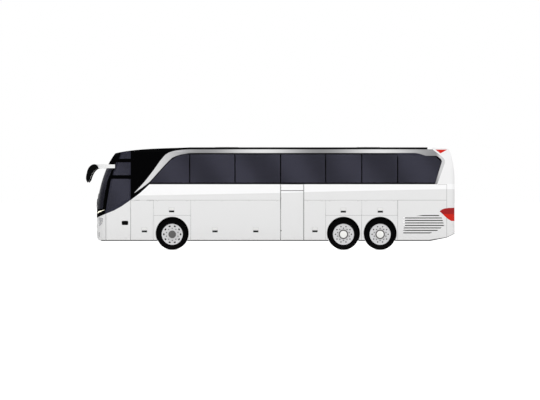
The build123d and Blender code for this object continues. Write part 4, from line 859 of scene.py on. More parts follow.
class Finishes:
    """Every finish on the coach."""

    body = Coachwork("coach_paint", "white_paint")
    trim_black = Painted(
        "gloss_black", "dark_plastic", colour=(0.0018, 0.0018, 0.002), worn=grey(0.02), rough=(0.2, 0.38),
        scuff=0.08, gloss=0.02,
    )
    rubber_seal = Painted(
        "seal_rubber", "tyre_rubber", colour=grey(0.002), worn=grey(0.015), rough=(0.7, 0.9), scuff=0.1,
        gloss=0.02,
    )
    tyre = Painted(
        "tyre_rubber", "tyre_rubber", colour=(0.0022, 0.0022, 0.0024), worn=(0.012, 0.0115, 0.011),
        rough=(0.78, 0.95), grain=220.0, depth=0.0008, film=(0.5, 0.015), scuff=0.12, gloss=0.01,
    )
    arm = Painted(
        "mirror_arm_white", "white_paint", colour=grey(0.82), worn=grey(0.6), rough=(0.3, 0.45), scuff=0.1
    )
    handle_white = Painted(
        "handle_white", "white_paint", colour=(0.82, 0.82, 0.81), worn=grey(0.5), rough=(0.3, 0.5),
        film=(1.0, 0.15),
    )
    lip = Painted(
        "arch_lip", "silver_paint", colour=grey(0.66), worn=grey(0.4), rough=(0.4, 0.6), film=(1.0, 0.2)
    )
    satin = Painted(
        "satin_metal", "silver_paint", colour=(0.55, 0.55, 0.56), worn=grey(0.75), rough=(0.22, 0.42),
        metal=0.9, grain=900.0,
    )
    mirror = Painted(
        "mirror_silver", "silver_paint", colour=(0.85, 0.86, 0.87), worn=grey(0.9), rough=(0.02, 0.06),
        metal=1.0, depth=0.00002, scuff=0.05,
    )
    plastic = Painted(
        "dark_plastic", "dark_plastic", colour=(0.022, 0.022, 0.024), worn=grey(0.08), rough=(0.5, 0.72),
        grain=800.0, depth=0.0006,
    )
    grey_plastic = Painted(
        "grey_plastic", "dark_plastic", colour=(0.13, 0.13, 0.135), worn=grey(0.25), rough=(0.5, 0.7),
        grain=800.0, depth=0.0006,
    )
    lining = Painted(
        "cabin_lining", "seat_fabric", colour=(0.30, 0.30, 0.31), worn=grey(0.4), rough=(0.8, 0.95),
        grain=300.0, depth=0.001,
    )
    step_rubber = Painted(
        "step_rubber", "dark_plastic", colour=(0.035, 0.036, 0.04), worn=grey(0.12), rough=(0.7, 0.9),
        grain=160.0, depth=0.0015,
    )
    chassis = Painted(
        "chassis_paint", "chassis_paint", colour=(0.006, 0.006, 0.0065), worn=(0.03, 0.024, 0.02),
        rough=(0.6, 0.85), grain=200.0, depth=0.0008, film=(1.3, 0.04), scuff=0.4, gloss=0.03,
    )
    casting = Painted(
        "cast_iron", "cast_engine", colour=(0.03, 0.03, 0.032), worn=(0.1, 0.08, 0.06), rough=(0.5, 0.75),
        metal=0.4, grain=160.0, depth=0.0012, film=(1.3, 0.1), scuff=0.4, gloss=0.1,
    )
    brake = Painted(
        "brake_iron", "cast_engine", colour=(0.004, 0.004, 0.0042), worn=(0.02, 0.014, 0.01),
        rough=(0.7, 0.9), grain=240.0, depth=0.001, film=(1.3, 0.02), gloss=0.02,
    )
    nuts = Painted(
        "nut_steel", "wheel_alloy", colour=(0.15, 0.15, 0.155), worn=grey(0.3), rough=(0.35, 0.55),
        metal=0.3, grain=700.0, gloss=0.2,
    )
    # Near-black for the flush plate that paints the shade of the flap handles' finger recesses.
    slot = Painted(
        "handle_slot", "dark_plastic", colour=grey(0.022), worn=grey(0.06), rough=(0.5, 0.7), gloss=0.05
    )
    plate = Painted(
        "blank_plate", "white_paint", colour=(0.72, 0.72, 0.70), worn=grey(0.5), rough=(0.3, 0.5),
        film=(1.0, 0.15),
    )
    # Both glass finishes carry painted reflections in their sheen colour.
    glass = Glass("side_glass", "tinted_glass")
    screen = Glass(
        "screen_glass", "tinted_glass", tint=(0.028, 0.028, 0.040), sheen=(0.062, 0.062, 0.084), clear=0.45,
        gloss=0.0, bend=1.05, frit=(3.10, 3.12),
    )
    head_lens = Lens(
        "clear_lens", "clear_lamp", colour=(0.9, 0.9, 0.92), deep=(0.7, 0.7, 0.72), clear=0.75, pitch=0.045
    )
    tail_lens = Lens(
        "red_lens", "red_lamp", colour=(0.70, 0.020, 0.006), deep=(0.52, 0.010, 0.006), pitch=0.03,
        coat=0.05, dark=((1.31, 2.0), (0.36, 0.010, 0.012)),
    )
    led = Glow("running_light", "clear_lamp", colour=(1.0, 0.97, 0.78), power=0.7)
    chrome = Painted(
        "reflector", "clear_lamp", colour=(0.8, 0.8, 0.82), worn=grey(0.9), rough=(0.05, 0.12), metal=1.0,
        depth=0.0001, scuff=0.0,
    )
    cloth = Cloth("seat_cloth", "seat_fabric")
    front_rings = ((0.139, (0.088, 0.088, 0.090)),)
    rear_rings = ((0.172, grey(0.045)), (0.131, (0.93, 0.93, 0.91)))
    # Place and size of the painted shadow spots at the hand holes of the rear discs.
    rear_holes = (0.294, 0.024, 0.024)
    wheels = {
        "front": WheelPaint("front_wheel_paint", "wheel_alloy", AXLE_X["front"], front_rings),
        "drive": WheelPaint(
            "drive_wheel_paint", "wheel_alloy", AXLE_X["drive"], rear_rings, holes=rear_holes
        ),
        "tag": WheelPaint("tag_wheel_paint", "wheel_alloy", AXLE_X["tag"], rear_rings, holes=rear_holes),
    }


# Making meshes


class Bench:
    """A mesh on the workbench, shaped with bmesh operators."""

    def __init__(self) -> None:
        """Starts an empty mesh."""
        self.mesh = bmesh.new()

    def block(
        self, low: Triple, high: Triple, bevel: float = 0.0, segments: int = 2, turn: Matrix | None = None
    ) -> list:
        """Adds a box with rounded edges.

        Args:
            low: Lowest corner.
            high: Highest corner.
            bevel: Radius of its edges.
            segments: Facets across each rounded edge.
            turn: Rotation about the box's middle.

        Returns:
            The box's vertices.
        """
        size = Vector(high) - Vector(low)
        middle = (Vector(high) + Vector(low)) / 2
        place = Matrix.Translation(middle) @ (
            turn.to_4x4() if turn else Matrix()
        ) @ Matrix.Diagonal((*size, 1.0))
        verts = bmesh.ops.create_cube(self.mesh, size=1.0, matrix=place)["verts"]
        return self.round_edges(verts, bevel, segments)

    def round_edges(self, verts: Sequence, radius: float, segments: int = 2) -> list:
        """Bevels every edge among some vertices.

        Args:
            verts: Vertices of one closed form.
            radius: Width of the bevel, or 0 for none.
            segments: Facets across it.

        Returns:
            The vertices after the bevel.
        """
        if radius <= 0:
            return list(verts)
        edges = {e for v in verts for e in v.link_edges}
        made = bmesh.ops.bevel(
            self.mesh, geom=list(edges), offset=radius, affect="EDGES", segments=segments, profile=0.5,
            material=-1, clamp_overlap=True,
        )
        return list({v for f in made["faces"] for v in f.verts} | {v for v in verts if v.is_valid})

    def lathe(self, profile: Sequence[Pair], centre: Triple, axis: Triple, steps: int = 32) -> list:
        """Spins a profile about an axis.

        Args:
            profile: (radius, distance along the axis) points.
            centre: Where the axis starts.
            axis: Its direction.
            steps: Facets round it.

        Returns:
            The faces of the turned form.
        """
        along = Vector(axis).normalized()
        out = along.orthogonal().normalized()
        origin = Vector(centre)
        verts = [self.mesh.verts.new(origin + out * r + along * d) for r, d in profile]
        edges = [self.mesh.edges.new(pair) for pair in zip(verts, verts[1:])]
        before = set(self.mesh.faces)
        bmesh.ops.spin(
            self.mesh, geom=[*verts, *edges], cent=origin, axis=along, angle=math.tau, steps=steps,
            use_merge=True, use_duplicate=False,
        )
        faces = [f for f in self.mesh.faces if f not in before]
        bmesh.ops.remove_doubles(self.mesh, verts=list({v for f in faces for v in f.verts}), dist=1e-5)
        return [f for f in faces if f.is_valid]

    def prism(self, outline: Iterable[Triple], push: Triple, bevel: float = 0.0, segments: int = 2) -> list:
        """Extrudes a flat outline.

        Args:
            outline: Corners of the outline.
            push: Direction and length of the extrusion.
            bevel: Radius of its edges.
            segments: Facets across each rounded edge.

        Returns:
            The prism's vertices.
        """
        base = [self.mesh.verts.new(p) for p in outline]
        face = self.mesh.faces.new(base)
        made = bmesh.ops.extrude_face_region(self.mesh, geom=[face])["geom"]
        top = [v for v in made if isinstance(v, bmesh.types.BMVert)]
        bmesh.ops.translate(self.mesh, verts=top, vec=push)
        return self.round_edges([*base, *top], bevel, segments)

    def tube(self, path: Sequence[Triple], radius: float, sides: int = 8) -> None:
        """Sweeps a round bar along straight runs, closed at both ends.

        Args:
            path: Corners of its centre line.
            radius: Radius of the bar.
            sides: Facets round it.
        """
        points = [Vector(p) for p in path]
        rings = []
        for i, point in enumerate(points):
            ahead = points[min(i + 1, len(points) - 1)] - points[max(i - 1, 0)]
            turn = ahead.to_track_quat("Z", "Y").to_matrix().to_4x4()
            ring = bmesh.ops.create_circle(
                self.mesh, cap_ends=False, segments=sides, radius=radius,
                matrix=Matrix.Translation(point) @ turn,
            )["verts"]
            rings.append(list({e for v in ring for e in v.link_edges}))
        for first, second in zip(rings, rings[1:]):
            bmesh.ops.bridge_loops(self.mesh, edges=first + second)
        for ring in (rings[0], rings[-1]):
            bmesh.ops.contextual_create(self.mesh, geom=[e for e in ring if e.is_valid])

    def nut(self, centre: Triple, axis: Triple, across: float, height: float) -> None:
        """Adds a hexagon nut with a washer.

        Args:
            centre: Middle of its seat.
            axis: Direction it stands in.
            across: Distance between opposite corners.
            height: Height of the nut.
        """
        turn = Vector(axis).to_track_quat("Z", "Y").to_matrix().to_4x4()
        for radius, low, high, sides in (
            (across * 0.72, 0.0, height * 0.2, 16), (across / 2, height * 0.2, height, 6)
        ):
            place = Matrix.Translation(Vector(centre) + Vector(axis).normalized() * (low + high) / 2) @ turn
            bmesh.ops.create_cone(
                self.mesh, cap_ends=True, segments=sides, radius1=radius, radius2=radius * 0.92,
                depth=high - low, matrix=place,
            )

    def mirror_side(self) -> None:
        """Adds the mirror image across the centre plane."""
        geom = [*self.mesh.verts, *self.mesh.edges, *self.mesh.faces]
        bmesh.ops.mirror(self.mesh, geom=geom, matrix=Matrix(), merge_dist=-1.0, axis="Y")

    def piece(self, name: str, body: str, finish: Finish, smooth: float = 35.0) -> bpy.types.Object:
        """Turns the mesh into a finished piece that rides a body.

        Args:
            name: Name of the piece.
            body: CAD body that it moves with.
            finish: Its finish.
            smooth: Edges flatter than this many degrees are shaded smooth.

        Returns:
            The new object.
        """
        bmesh.ops.recalc_face_normals(self.mesh, faces=self.mesh.faces)
        for face in self.mesh.faces:
            face.smooth = True
        for edge in self.mesh.edges:
            if len(edge.link_faces) == 2:
                edge.smooth = edge.calc_face_angle(0.0) < math.radians(smooth)
        data = bpy.data.meshes.new(name)
        self.mesh.to_mesh(data)
        self.mesh.free()
        data.materials.append(finish.material())
        made = bpy.data.objects.new(name, data)
        bpy.context.scene.collection.objects.link(made)
        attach(made, body)
        LOG.info("%s rides %s, %d faces", name, body, len(data.polygons))
        return made


class Skin:
    """Outer face of the coachwork, found by rays against CAD nodes."""

    def __init__(self, nodes: Sequence[str]) -> None:
        """Gathers the nodes' faces.

        Args:
            nodes: Names of the CAD nodes that make the skin.
        """
        verts: list[Vector] = []
        faces: list[list[int]] = []
        for name in nodes:
            mesh = frame["nodes"][name].data
            start = len(verts)
            verts += [v.co.copy() for v in mesh.vertices]
            faces += [[start + i for i in p.vertices] for p in mesh.polygons]
        self.tree = BVHTree.FromPolygons(verts, faces)

    def hit(self, origin: Triple, direction: Triple, lift: float) -> Vector:
        """First place that a ray meets, raised from the face.

        Args:
            origin: Start of the ray, outside the coach.
            direction: Its direction.
            lift: Height above the face, below it where negative.

        Returns:
            The place.
        """
        spot, normal, _, _ = self.tree.ray_cast(Vector(origin), Vector(direction))
        if spot is None:
            raise ValueError(f"no skin ahead of {origin}")
        if normal.dot(Vector(direction)) > 0:
            normal = -normal
        return spot + normal * lift

    def flank(self, x: float, z: float, side: Side, lift: float = 0.0) -> Vector:
        """Place on a side of the coach."""
        return self.hit((x, side.value * 3.0, z), (0, -side.value, 0), lift)

    def nose(self, y: float, z: float, lift: float = 0.0) -> Vector:
        """Place on the front."""
        return self.hit((-9.0, y, z), (1, 0, 0), lift)

    def tail(self, y: float, z: float, lift: float = 0.0) -> Vector:
        """Place on the rear."""
        return self.hit((9.0, y, z), (-1, 0, 0), lift)


# Wheels


@dataclass
class Tyres:
    """Six tyre pieces with grooved treads and plain sidewalls."""

    width: float = 0.300
    twin_gap: float = 0.040
    bead: float = 0.378
    steps: int = 72
    grooves: tuple[float, ...] = (0.085, 0.128, 0.172, 0.215)
    groove_depth: float = 0.012
    groove_mouth: float = 0.007
    groove_foot: float = 0.005
    shoulder: Pair = (0.041, 0.078)
    notch_edge: float = 0.006
    notch_depth: float = 0.009
    smooth: float = 28.0

    def profile(self) -> list[Pair]:
        """Section of the rubber from the outer bead to the inner one.

        Returns:
            (radius, depth from the outer face) points.
        """
        r, w = TYRE_RADIUS, self.width
        side = [
            (self.bead, 0.030), (self.bead, 0.008), (self.bead + 0.012, 0.003), (0.402, 0.005),
            (0.408, 0.001), (0.440, 0.0005), (0.470, 0.0), (0.500, 0.001), (0.512, 0.004),
            (0.516, 0.0015), (0.531, 0.008), (0.548, 0.018), (r - 0.004, 0.030), (r, 0.040),
        ]
        mouth, foot, floor = self.groove_mouth, self.groove_foot, r - self.groove_depth
        tread: list[Pair] = []
        for middle in self.grooves:
            tread += [
                (r, middle - mouth), (floor, middle - foot), (floor, middle + foot), (r, middle + mouth)
            ]
        far = [(a, w - b) for a, b in reversed(side)]
        return [*side, *tread, *far]

    def build(self) -> None:
        """Makes every tyre in place of its CAD node."""
        for axle, x in AXLE_X.items():
            for side in Side:
                bench = Bench()
                offsets = (0.0, self.width + self.twin_gap) if axle == "drive" else (0.0,)
                for offset in offsets:
                    start = (x, side.value * (TYRE_FACE_Y - offset), AXLE_HEIGHT)
                    faces = bench.lathe(self.profile(), start, (0, -side.value, 0), self.steps)
                    bmesh.ops.recalc_face_normals(bench.mesh, faces=faces)
                    self.cut_blocks(bench, faces, start)
                node = f"{axle}_tyre_{side.word}"
                made = bench.piece(
                    f"{node}_rubber", f"{axle}_wheel_{side.word}", Finishes.tyre, self.smooth
                )
                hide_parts(node)

    def cut_blocks(self, bench: Bench, faces: Sequence, start: Triple) -> None:
        """Sinks short cross grooves in the shoulder ribs.

        Args:
            bench: The tyre's mesh.
            faces: Its faces.
            start: Middle of its outer face.
        """
        near, far = self.shoulder
        outermost = TYRE_RADIUS - 0.003
        chosen = []
        for face in faces:
            middle = face.calc_center_median()
            dx, dz = middle.x - start[0], middle.z - start[2]
            depth = abs(middle.y - start[1])
            step = round((math.atan2(dz, dx) + math.pi) / math.tau * self.steps)
            on_rib = math.hypot(dx, dz) > outermost and near < min(depth, self.width - depth) < far
            if on_rib and step % 2 == 0:
                chosen.append(face)
        bmesh.ops.inset_individual(
            bench.mesh, faces=chosen, thickness=self.notch_edge, depth=-self.notch_depth
        )


@dataclass
class WheelFittings:
    """Rim edges, nuts, brake drums and valves of the six wheels."""

    disc_depth: float = 0.034
    nut_circle: float = 0.222
    nuts: int = 10
    nut_size: Pair = (0.038, 0.020)
    cap_circle: float = 0.112
    cap_bolts: int = 8
    cap_bolt_size: Pair = (0.016, 0.006)
    cap_depth: float = 0.008
    rim: float = 0.380
    rim_depth: float = 0.009
    rim_lip: tuple[Pair, ...] = (
        (-0.006, -0.004), (0.003, -0.002), (0.006, 0.003), (0.001, 0.007), (-0.010, 0.006),
        (-0.014, -0.002), (-0.006, -0.004),
    )
    nut_seat: tuple[Pair, ...] = ((0.195, 0.0), (0.196, 0.004), (0.250, 0.004), (0.252, 0.0))
    drum: tuple[Pair, ...] = (
        (0.113, 0.0), (0.352, 0.0), (0.356, 0.004), (0.356, 0.010), (0.113, 0.010), (0.113, 0.0),
    )
    drum_depth: float = 0.060
    valve_circle: float = 0.345
    valve_angle: float = 0.3
    valve_bar: float = 0.005
    valve_bends: tuple[Triple, ...] = ((-0.006, 0.014, -0.002), (-0.016, 0.026, -0.005))
    smooth: float = 30.0

    def build(self) -> None:
        """Makes the fittings of each wheel and paints its CAD disc."""
        for axle, x in AXLE_X.items():
            for side in Side:
                self.wheel(axle, x, side)

    def around(self, x: float, y: float, circle: float, angle: float) -> Triple:
        """Place on a circle round the axle at x."""
        return (x + circle * math.cos(angle), y, AXLE_HEIGHT + circle * math.sin(angle))

    def wheel(self, axle: str, x: float, side: Side) -> None:
        """Makes the fittings of one wheel.

        Args:
            axle: Name of the axle.
            x: Its place along the coach.
            side: Side of the coach.
        """
        out = side.value
        face = out * (TYRE_FACE_Y - self.disc_depth)
        rims, nuts, brake = Bench(), Bench(), Bench()
        for i in range(self.nuts):
            spot = self.around(x, face, self.nut_circle, math.tau * (i + 0.5) / self.nuts)
            nuts.nut(spot, (0, out, 0), *self.nut_size)
        lip = [(self.rim + r, d) for r, d in self.rim_lip]
        rims.lathe(lip, (x, out * (TYRE_FACE_Y - self.rim_depth), AXLE_HEIGHT), (0, out, 0), 64)
        rims.lathe(self.nut_seat, (x, face, AXLE_HEIGHT), (0, out, 0), 48)
        valve = Vector(self.around(x, face, self.valve_circle, self.valve_angle))
        bends = [valve + Vector((dx, out * dy, dz)) for dx, dy, dz in self.valve_bends]
        rims.tube([valve, *bends], self.valve_bar)
        if axle == "front":
            for i in range(self.cap_bolts):
                y = out * (TYRE_FACE_Y - self.cap_depth)
                spot = self.around(x, y, self.cap_circle, math.tau * i / self.cap_bolts)
                nuts.nut(spot, (0, out, 0), *self.cap_bolt_size)
        wheel = f"{axle}_wheel_{side.word}"
        rims.piece(f"{wheel}_fittings", wheel, Finishes.wheels[axle], self.smooth)
        nuts.piece(f"{wheel}_nuts", wheel, Finishes.nuts)
        brake.lathe(self.drum, (x, out * (TYRE_FACE_Y - self.drum_depth), AXLE_HEIGHT), (0, -out, 0), 48)
        brake.piece(f"{wheel}_brake", wheel, Finishes.brake, self.smooth)
        dress(wheel, Finishes.wheels[axle])


def dress(node: str, finish: Finish) -> None:
    """Gives a CAD node's object a finish.

    Args:
        node: Name of the CAD node.
        finish: Its finish.
    """
    thing = frame["nodes"][node]
    thing.data.materials.clear()
    thing.data.materials.append(finish.material())
    LOG.info("%s has finish %s", node, finish.name)


# Coachwork details


@dataclass
class FlapHandles:
    """Recessed handles of the luggage and wheel flaps, on both sides."""

    width: float = 0.205
    height: float = 0.185
    rim: float = 0.010
    rim_foot: float = 0.022
    paddle_inset: float = 0.014
    paddle_foot: float = 0.010
    paddle_top: float = 0.013
    paddle_lean: float = 0.035
    slot_inset: float = 0.006
    slot_foot: float = 0.004
    slot_top: float = 0.020
    places: tuple[tuple[str, float, float], ...] = (
        ("front_flap", -4.612, 0.732), ("front_wheel_flap", -3.616, 1.464), ("luggage_flap", -2.028, 0.732),
        ("luggage_flap", -0.534, 0.732), ("centre_flap", 0.796, 0.732), ("service_flap", 1.629, 0.736),
        ("drive_wheel_flap", 2.668, 1.453), ("tag_wheel_flap", 4.022, 1.453),
    )

    def build(self) -> None:
        """Makes a rim, a paddle and a flush dark plate for each handle, painted as the shade in its finger
        recess.
        """
        for side in Side:
            for flap in dict.fromkeys(name for name, _, _ in self.places):
                body = f"{flap}_{side.word}"
                if body not in frame["bodies"]:
                    continue
                pale, dark, edge = Bench(), Bench(), Bench()
                for _, x, z in (p for p in self.places if p[0] == flap):
                    self.handle(pale, dark, edge, x, z, side)
                pale.piece(f"{body}_handle", body, Finishes.handle_white)
                dark.piece(f"{body}_handle_slot", body, Finishes.slot)
                edge.piece(f"{body}_handle_rim", body, Finishes.lip)

    def handle(self, pale: Bench, dark: Bench, edge: Bench, x: float, z: float, side: Side) -> None:
        """Adds one handle.

        Args:
            pale: Bench of the painted parts.
            dark: Bench of the flush dark plate that paints the shade of the finger recess.
            edge: Bench of the rim.
            x: Middle of the handle along the coach.
            z: Middle of its height.
            side: Side of the coach.
        """
        s, w, h = side.value, self.width / 2, self.height / 2
        face = s * HALF_WIDTH

        def span(
            x0: float, x1: float, z0: float, z1: float, inner: float, outer: float
        ) -> tuple[Triple, Triple]:
            """Corners of a box about the handle's middle, from inner to outer height above the flap."""
            ys = sorted((face + s * inner, face + s * outer))
            return (x + x0, ys[0], z + z0), (x + x1, ys[1], z + z1)

        foot, bar = -self.rim_foot, self.rim
        for sides in (
            (-w, w, h - bar, h), (-w, w, foot, bar + foot), (-w, bar - w, foot, h), (w - bar, w, foot, h)
        ):
            edge.block(*span(*sides, -0.002, 0.004), bevel=0.0015)
        lean = Matrix.Rotation(s * self.paddle_lean, 3, "X")
        reach = w - self.paddle_inset
        paddle = span(-reach, reach, -self.paddle_foot, h - self.paddle_top, 0.001, 0.006)
        pale.block(*paddle, bevel=0.003, turn=lean)
        # Painted shade: a thin dark plate on the flap face stands where the finger recess would lie in
        # shadow.
        reach = w - self.slot_inset
        dark.block(*span(-reach, reach, self.slot_foot - h, -self.slot_top, -0.001, 0.0025), bevel=0.001)


@dataclass
class DoorHandle:
    """Black pull handle of the entrance door."""

    low: Pair = (-5.442, 0.911)
    high: Pair = (-5.204, 1.065)
    corner: float = 0.03
    reach: float = 0.006
    margin: float = 0.04

    def build(self, skin: Skin) -> None:
        """Makes the bezel with cut corners and the grip on the door's own face.

        Args:
            skin: The coach's outer face.
        """
        (x0, z0), (x1, z1), cut = self.low, self.high, self.corner
        bench = Bench()
        corners = [
            (x0 + cut, z0), (x1 - cut, z0), (x1, z0 + cut), (x1, z1 - cut), (x1 - cut, z1), (x0 + cut, z1),
            (x0, z1 - cut), (x0, z0 + cut),
        ]
        outline = [tuple(skin.flank(x, z, Side.LEFT, -0.001)) for x, z in corners]
        bench.prism(outline, (0, -self.reach, 0), bevel=0.002)
        y = min(p[1] for p in outline) - self.reach
        left, right = x0 + self.margin, x1 - self.margin
        bench.block((left, y - 0.010, z1 - 0.055), (right, y + 0.002, z1 - 0.025), bevel=0.005, segments=3)
        bench.block((left, y - 0.003, z0 + 0.025), (right, y + 0.002, z1 - 0.065), bevel=0.001)
        bench.piece("front_door_handle", "front_door", Finishes.trim_black)


@dataclass
class ArchLips:
    """Thin rolled edges round the wheel openings."""

    radius: float = 0.604
    rise: float = 0.039
    bottom: float = 0.330
    section: tuple[Pair, ...] = (
        (0.012, 0.0), (0.010, 0.003), (-0.001, 0.004), (-0.002, 0.0), (-0.002, -0.040), (0.004, -0.040),
        (0.012, 0.0),
    )

    def build(self) -> None:
        """Makes the six edges as one piece on the body."""
        bench = Bench()
        section = [(self.radius + r, d) for r, d in self.section]
        for x in AXLE_X.values():
            bench.lathe(section, (x, -HALF_WIDTH, AXLE_HEIGHT + self.rise), (0, -1, 0), 96)
        geom = [*bench.mesh.verts, *bench.mesh.edges, *bench.mesh.faces]
        foot, down = (0, 0, self.bottom), (0, 0, -1)
        bmesh.ops.bisect_plane(
            bench.mesh, geom=geom, dist=1e-6, plane_co=foot, plane_no=down, clear_outer=True
        )
        bench.mirror_side()
        bench.piece("arch_lips", "body", Finishes.lip)


@dataclass
class PaneSeals:
    """Rubber edges round the side panes."""

    bottom: float = 2.46
    top: float = 3.50
    width: float = 0.016
    thickness: float = 0.003
    proud: float = 0.0005
    edges: tuple[float, ...] = (-2.954, -1.296, 0.373, 2.024, 3.3455, 4.659)
    gap: float = 0.020
    sweep: tuple[Pair, ...] = (
        (-4.410, 2.46), (-3.930, 2.994), (-3.660, 3.276), (-3.400, 3.440), (-3.180, 3.500)
    )
    tail: tuple[Pair, ...] = ((6.020, 2.46), (6.262, 3.226), (6.040, 3.420))

    def outlines(self) -> list[list[Pair]]:
        """Outlines of the seven side panes, front to rear.

        Returns:
            Lists of (x, z) corners.
        """
        e, g, low, high = self.edges, self.gap, self.bottom, self.top
        panes = [[*self.sweep, (e[0] - g, high), (e[0] - g, low)]]
        panes += [[(a + g, low), (b - g, low), (b - g, high), (a + g, high)] for a, b in zip(e, e[1:])]
        panes.append([(e[-1] + g, low), *self.tail, (e[-1] + g, high)])
        return panes

    def build(self) -> None:
        """Makes the seals of both sides as one piece."""
        bench = Bench()
        for outline in self.outlines():
            corners = [bench.mesh.verts.new((x, -HALF_WIDTH - self.proud, z)) for x, z in outline]
            face = bench.mesh.faces.new(corners)
            made = bmesh.ops.inset_individual(
                bench.mesh, faces=[face], thickness=self.width, use_even_offset=True
            )
            bench.mesh.faces.remove(face)
            bmesh.ops.solidify(bench.mesh, geom=made["faces"], thickness=self.thickness)
        bench.mirror_side()
        bench.piece("pane_seals", "body", Finishes.rubber_seal)


@dataclass
class Nose:
    """Lamps, grille, wipers and plate at the front."""

    lamps: tuple[Triple, ...] = ((1.02, 1.02, 0.085), (0.83, 1.02, 0.085), (0.88, 0.55, 0.060))
    lamp_depth: float = 0.055
    bowl: tuple[Pair, ...] = (
        (1.0, 0.0), (0.96, 0.004), (0.8, 0.035), (0.5, 0.060), (0.2, 0.072), (0.0, 0.074)
    )
    bulb: tuple[Pair, ...] = ((0.0, -0.004), (0.16, 0.0), (0.18, 0.03), (0.18, 0.072))
    strip_start: Pair = (-6.078, 1.464)
    strip_corner: Pair = (-6.293, 1.389)
    strip_end: Pair = (0.62, 1.344)
    strip_halves: Triple = (0.004, 0.024, 0.016)
    strip_steps: int = 12
    strip_shares: tuple[float, ...] = (0.02, 0.06, 0.12, 0.2, 0.3, 0.45, 0.6, 0.8, 1.0)
    slat_heights: tuple[float, ...] = (0.50, 0.545, 0.59, 0.635, 0.68)
    slat_ys: tuple[float, ...] = (-0.52, -0.35, -0.18, 0.0, 0.18, 0.35, 0.52)
    slat_half: float = 0.012
    slat_depth: float = 0.008
    plate_half: float = 0.26
    plate_span: Pair = (0.805, 0.915)
    wiper_arm: tuple[Triple, ...] = ((0.62, 1.44, 0.012), (0.46, 1.62, 0.030), (0.10, 1.86, 0.022))
    wiper_boss: tuple[Pair, ...] = ((0.0, 0.0), (0.032, 0.0), (0.030, 0.022), (0.0, 0.026))
    wiper_blade: tuple[Pair, ...] = ((0.78, 1.62), (0.50, 1.71), (0.22, 1.81), (-0.06, 1.93), (-0.30, 2.05))

    def build(self, skin: Skin) -> None:
        """Makes every front fitting.

        Args:
            skin: The coach's outer face.
        """
        self.reflectors(skin)
        self.light_strips(skin)
        self.grille(skin)
        self.wipers(skin)

    def reflectors(self, skin: Skin) -> None:
        """Puts bowls and bulbs behind the head and fog lenses.

        Args:
            skin: The coach's outer face.
        """
        bowls, bulbs = Bench(), Bench()
        for y, z, radius in self.lamps:
            start = (skin.nose(-y, z).x + self.lamp_depth, -y, z)
            bowls.lathe([(radius * share, d) for share, d in self.bowl], start, (1, 0, 0), 32)
            bulbs.lathe([(radius * share, d) for share, d in self.bulb], start, (1, 0, 0), 20)
        for bench, name, finish in (
            (bowls, "lamp_bowls", Finishes.chrome), (bulbs, "lamp_bulbs", Finishes.led)
        ):
            bench.mirror_side()
            bench.piece(name, "body", finish)

    def light_strips(self, skin: Skin) -> None:
        """Wraps a tapering strip of running lights round each front corner.

        Args:
            skin: The coach's outer face.
        """
        (x0, z0), (x1, z1), (y2, z2) = self.strip_start, self.strip_corner, self.strip_end
        thin, full, end = self.strip_halves
        bench = Bench()
        for side in Side:
            loop = []
            for i in range(self.strip_steps):
                share = i / (self.strip_steps - 1)
                spot = skin.flank(x0 + (x1 - x0) * share, z0 + (z1 - z0) * share, side, 0.005)
                loop.append((spot, thin + (full - thin) * share))
            corner = loop[-1][0]
            for share in self.strip_shares:
                y = corner.y * (1 - share) + side.value * y2 * share
                loop.append((skin.nose(y, z1 + (z2 - z1) * share, 0.005), full + (end - full) * share))
            rows = []
            for spot, half in loop:
                rows.append([bench.mesh.verts.new(spot + Vector((0, 0, dz))) for dz in (-half, half)])
            faces = [bench.mesh.faces.new((a[0], b[0], b[1], a[1])) for a, b in zip(rows, rows[1:])]
            bmesh.ops.recalc_face_normals(bench.mesh, faces=faces)
            bmesh.ops.solidify(bench.mesh, geom=faces, thickness=0.006)
        bench.piece("running_light_strips", "body", Finishes.led)

    def grille(self, skin: Skin) -> None:
        """Makes the lower intake's slats and the blank plate.

        Args:
            skin: The coach's outer face.
        """
        dark, plate = Bench(), Bench()
        up = Vector((0, 0, self.slat_half))
        for z in self.slat_heights:
            points = [skin.nose(y, z, 0.003) for y in self.slat_ys]
            for a, b in zip(points, points[1:]):
                dark.prism([a - up, b - up, b + up, a + up], (self.slat_depth, 0, 0))
        dark.piece("front_grille", "body", Finishes.trim_black)
        half, (low, high) = self.plate_half, self.plate_span
        x = skin.nose(0.0, (low + high) / 2).x
        plate.block((x - 0.010, -half, low), (x + 0.012, half, high), bevel=0.003)
        plate.piece("front_plate", "body", Finishes.plate)

    def wipers(self, skin: Skin) -> None:
        """Makes two long wipers that lie along the foot of the windscreen.

        Args:
            skin: The coach's outer face.
        """
        bench = Bench()
        for side in Side:
            s = side.value
            arm = [skin.nose(s * y, z, lift) for y, z, lift in self.wiper_arm]
            bench.lathe(self.wiper_boss, arm[0] + Vector((0.02, 0, 0)), (-1, 0, 0.1), 20)
            bench.tube(arm, 0.010, 6)
            bench.tube([skin.nose(s * y, z, 0.010) for y, z in self.wiper_blade], 0.008, 6)
        bench.piece("wipers", "body", Finishes.plastic)


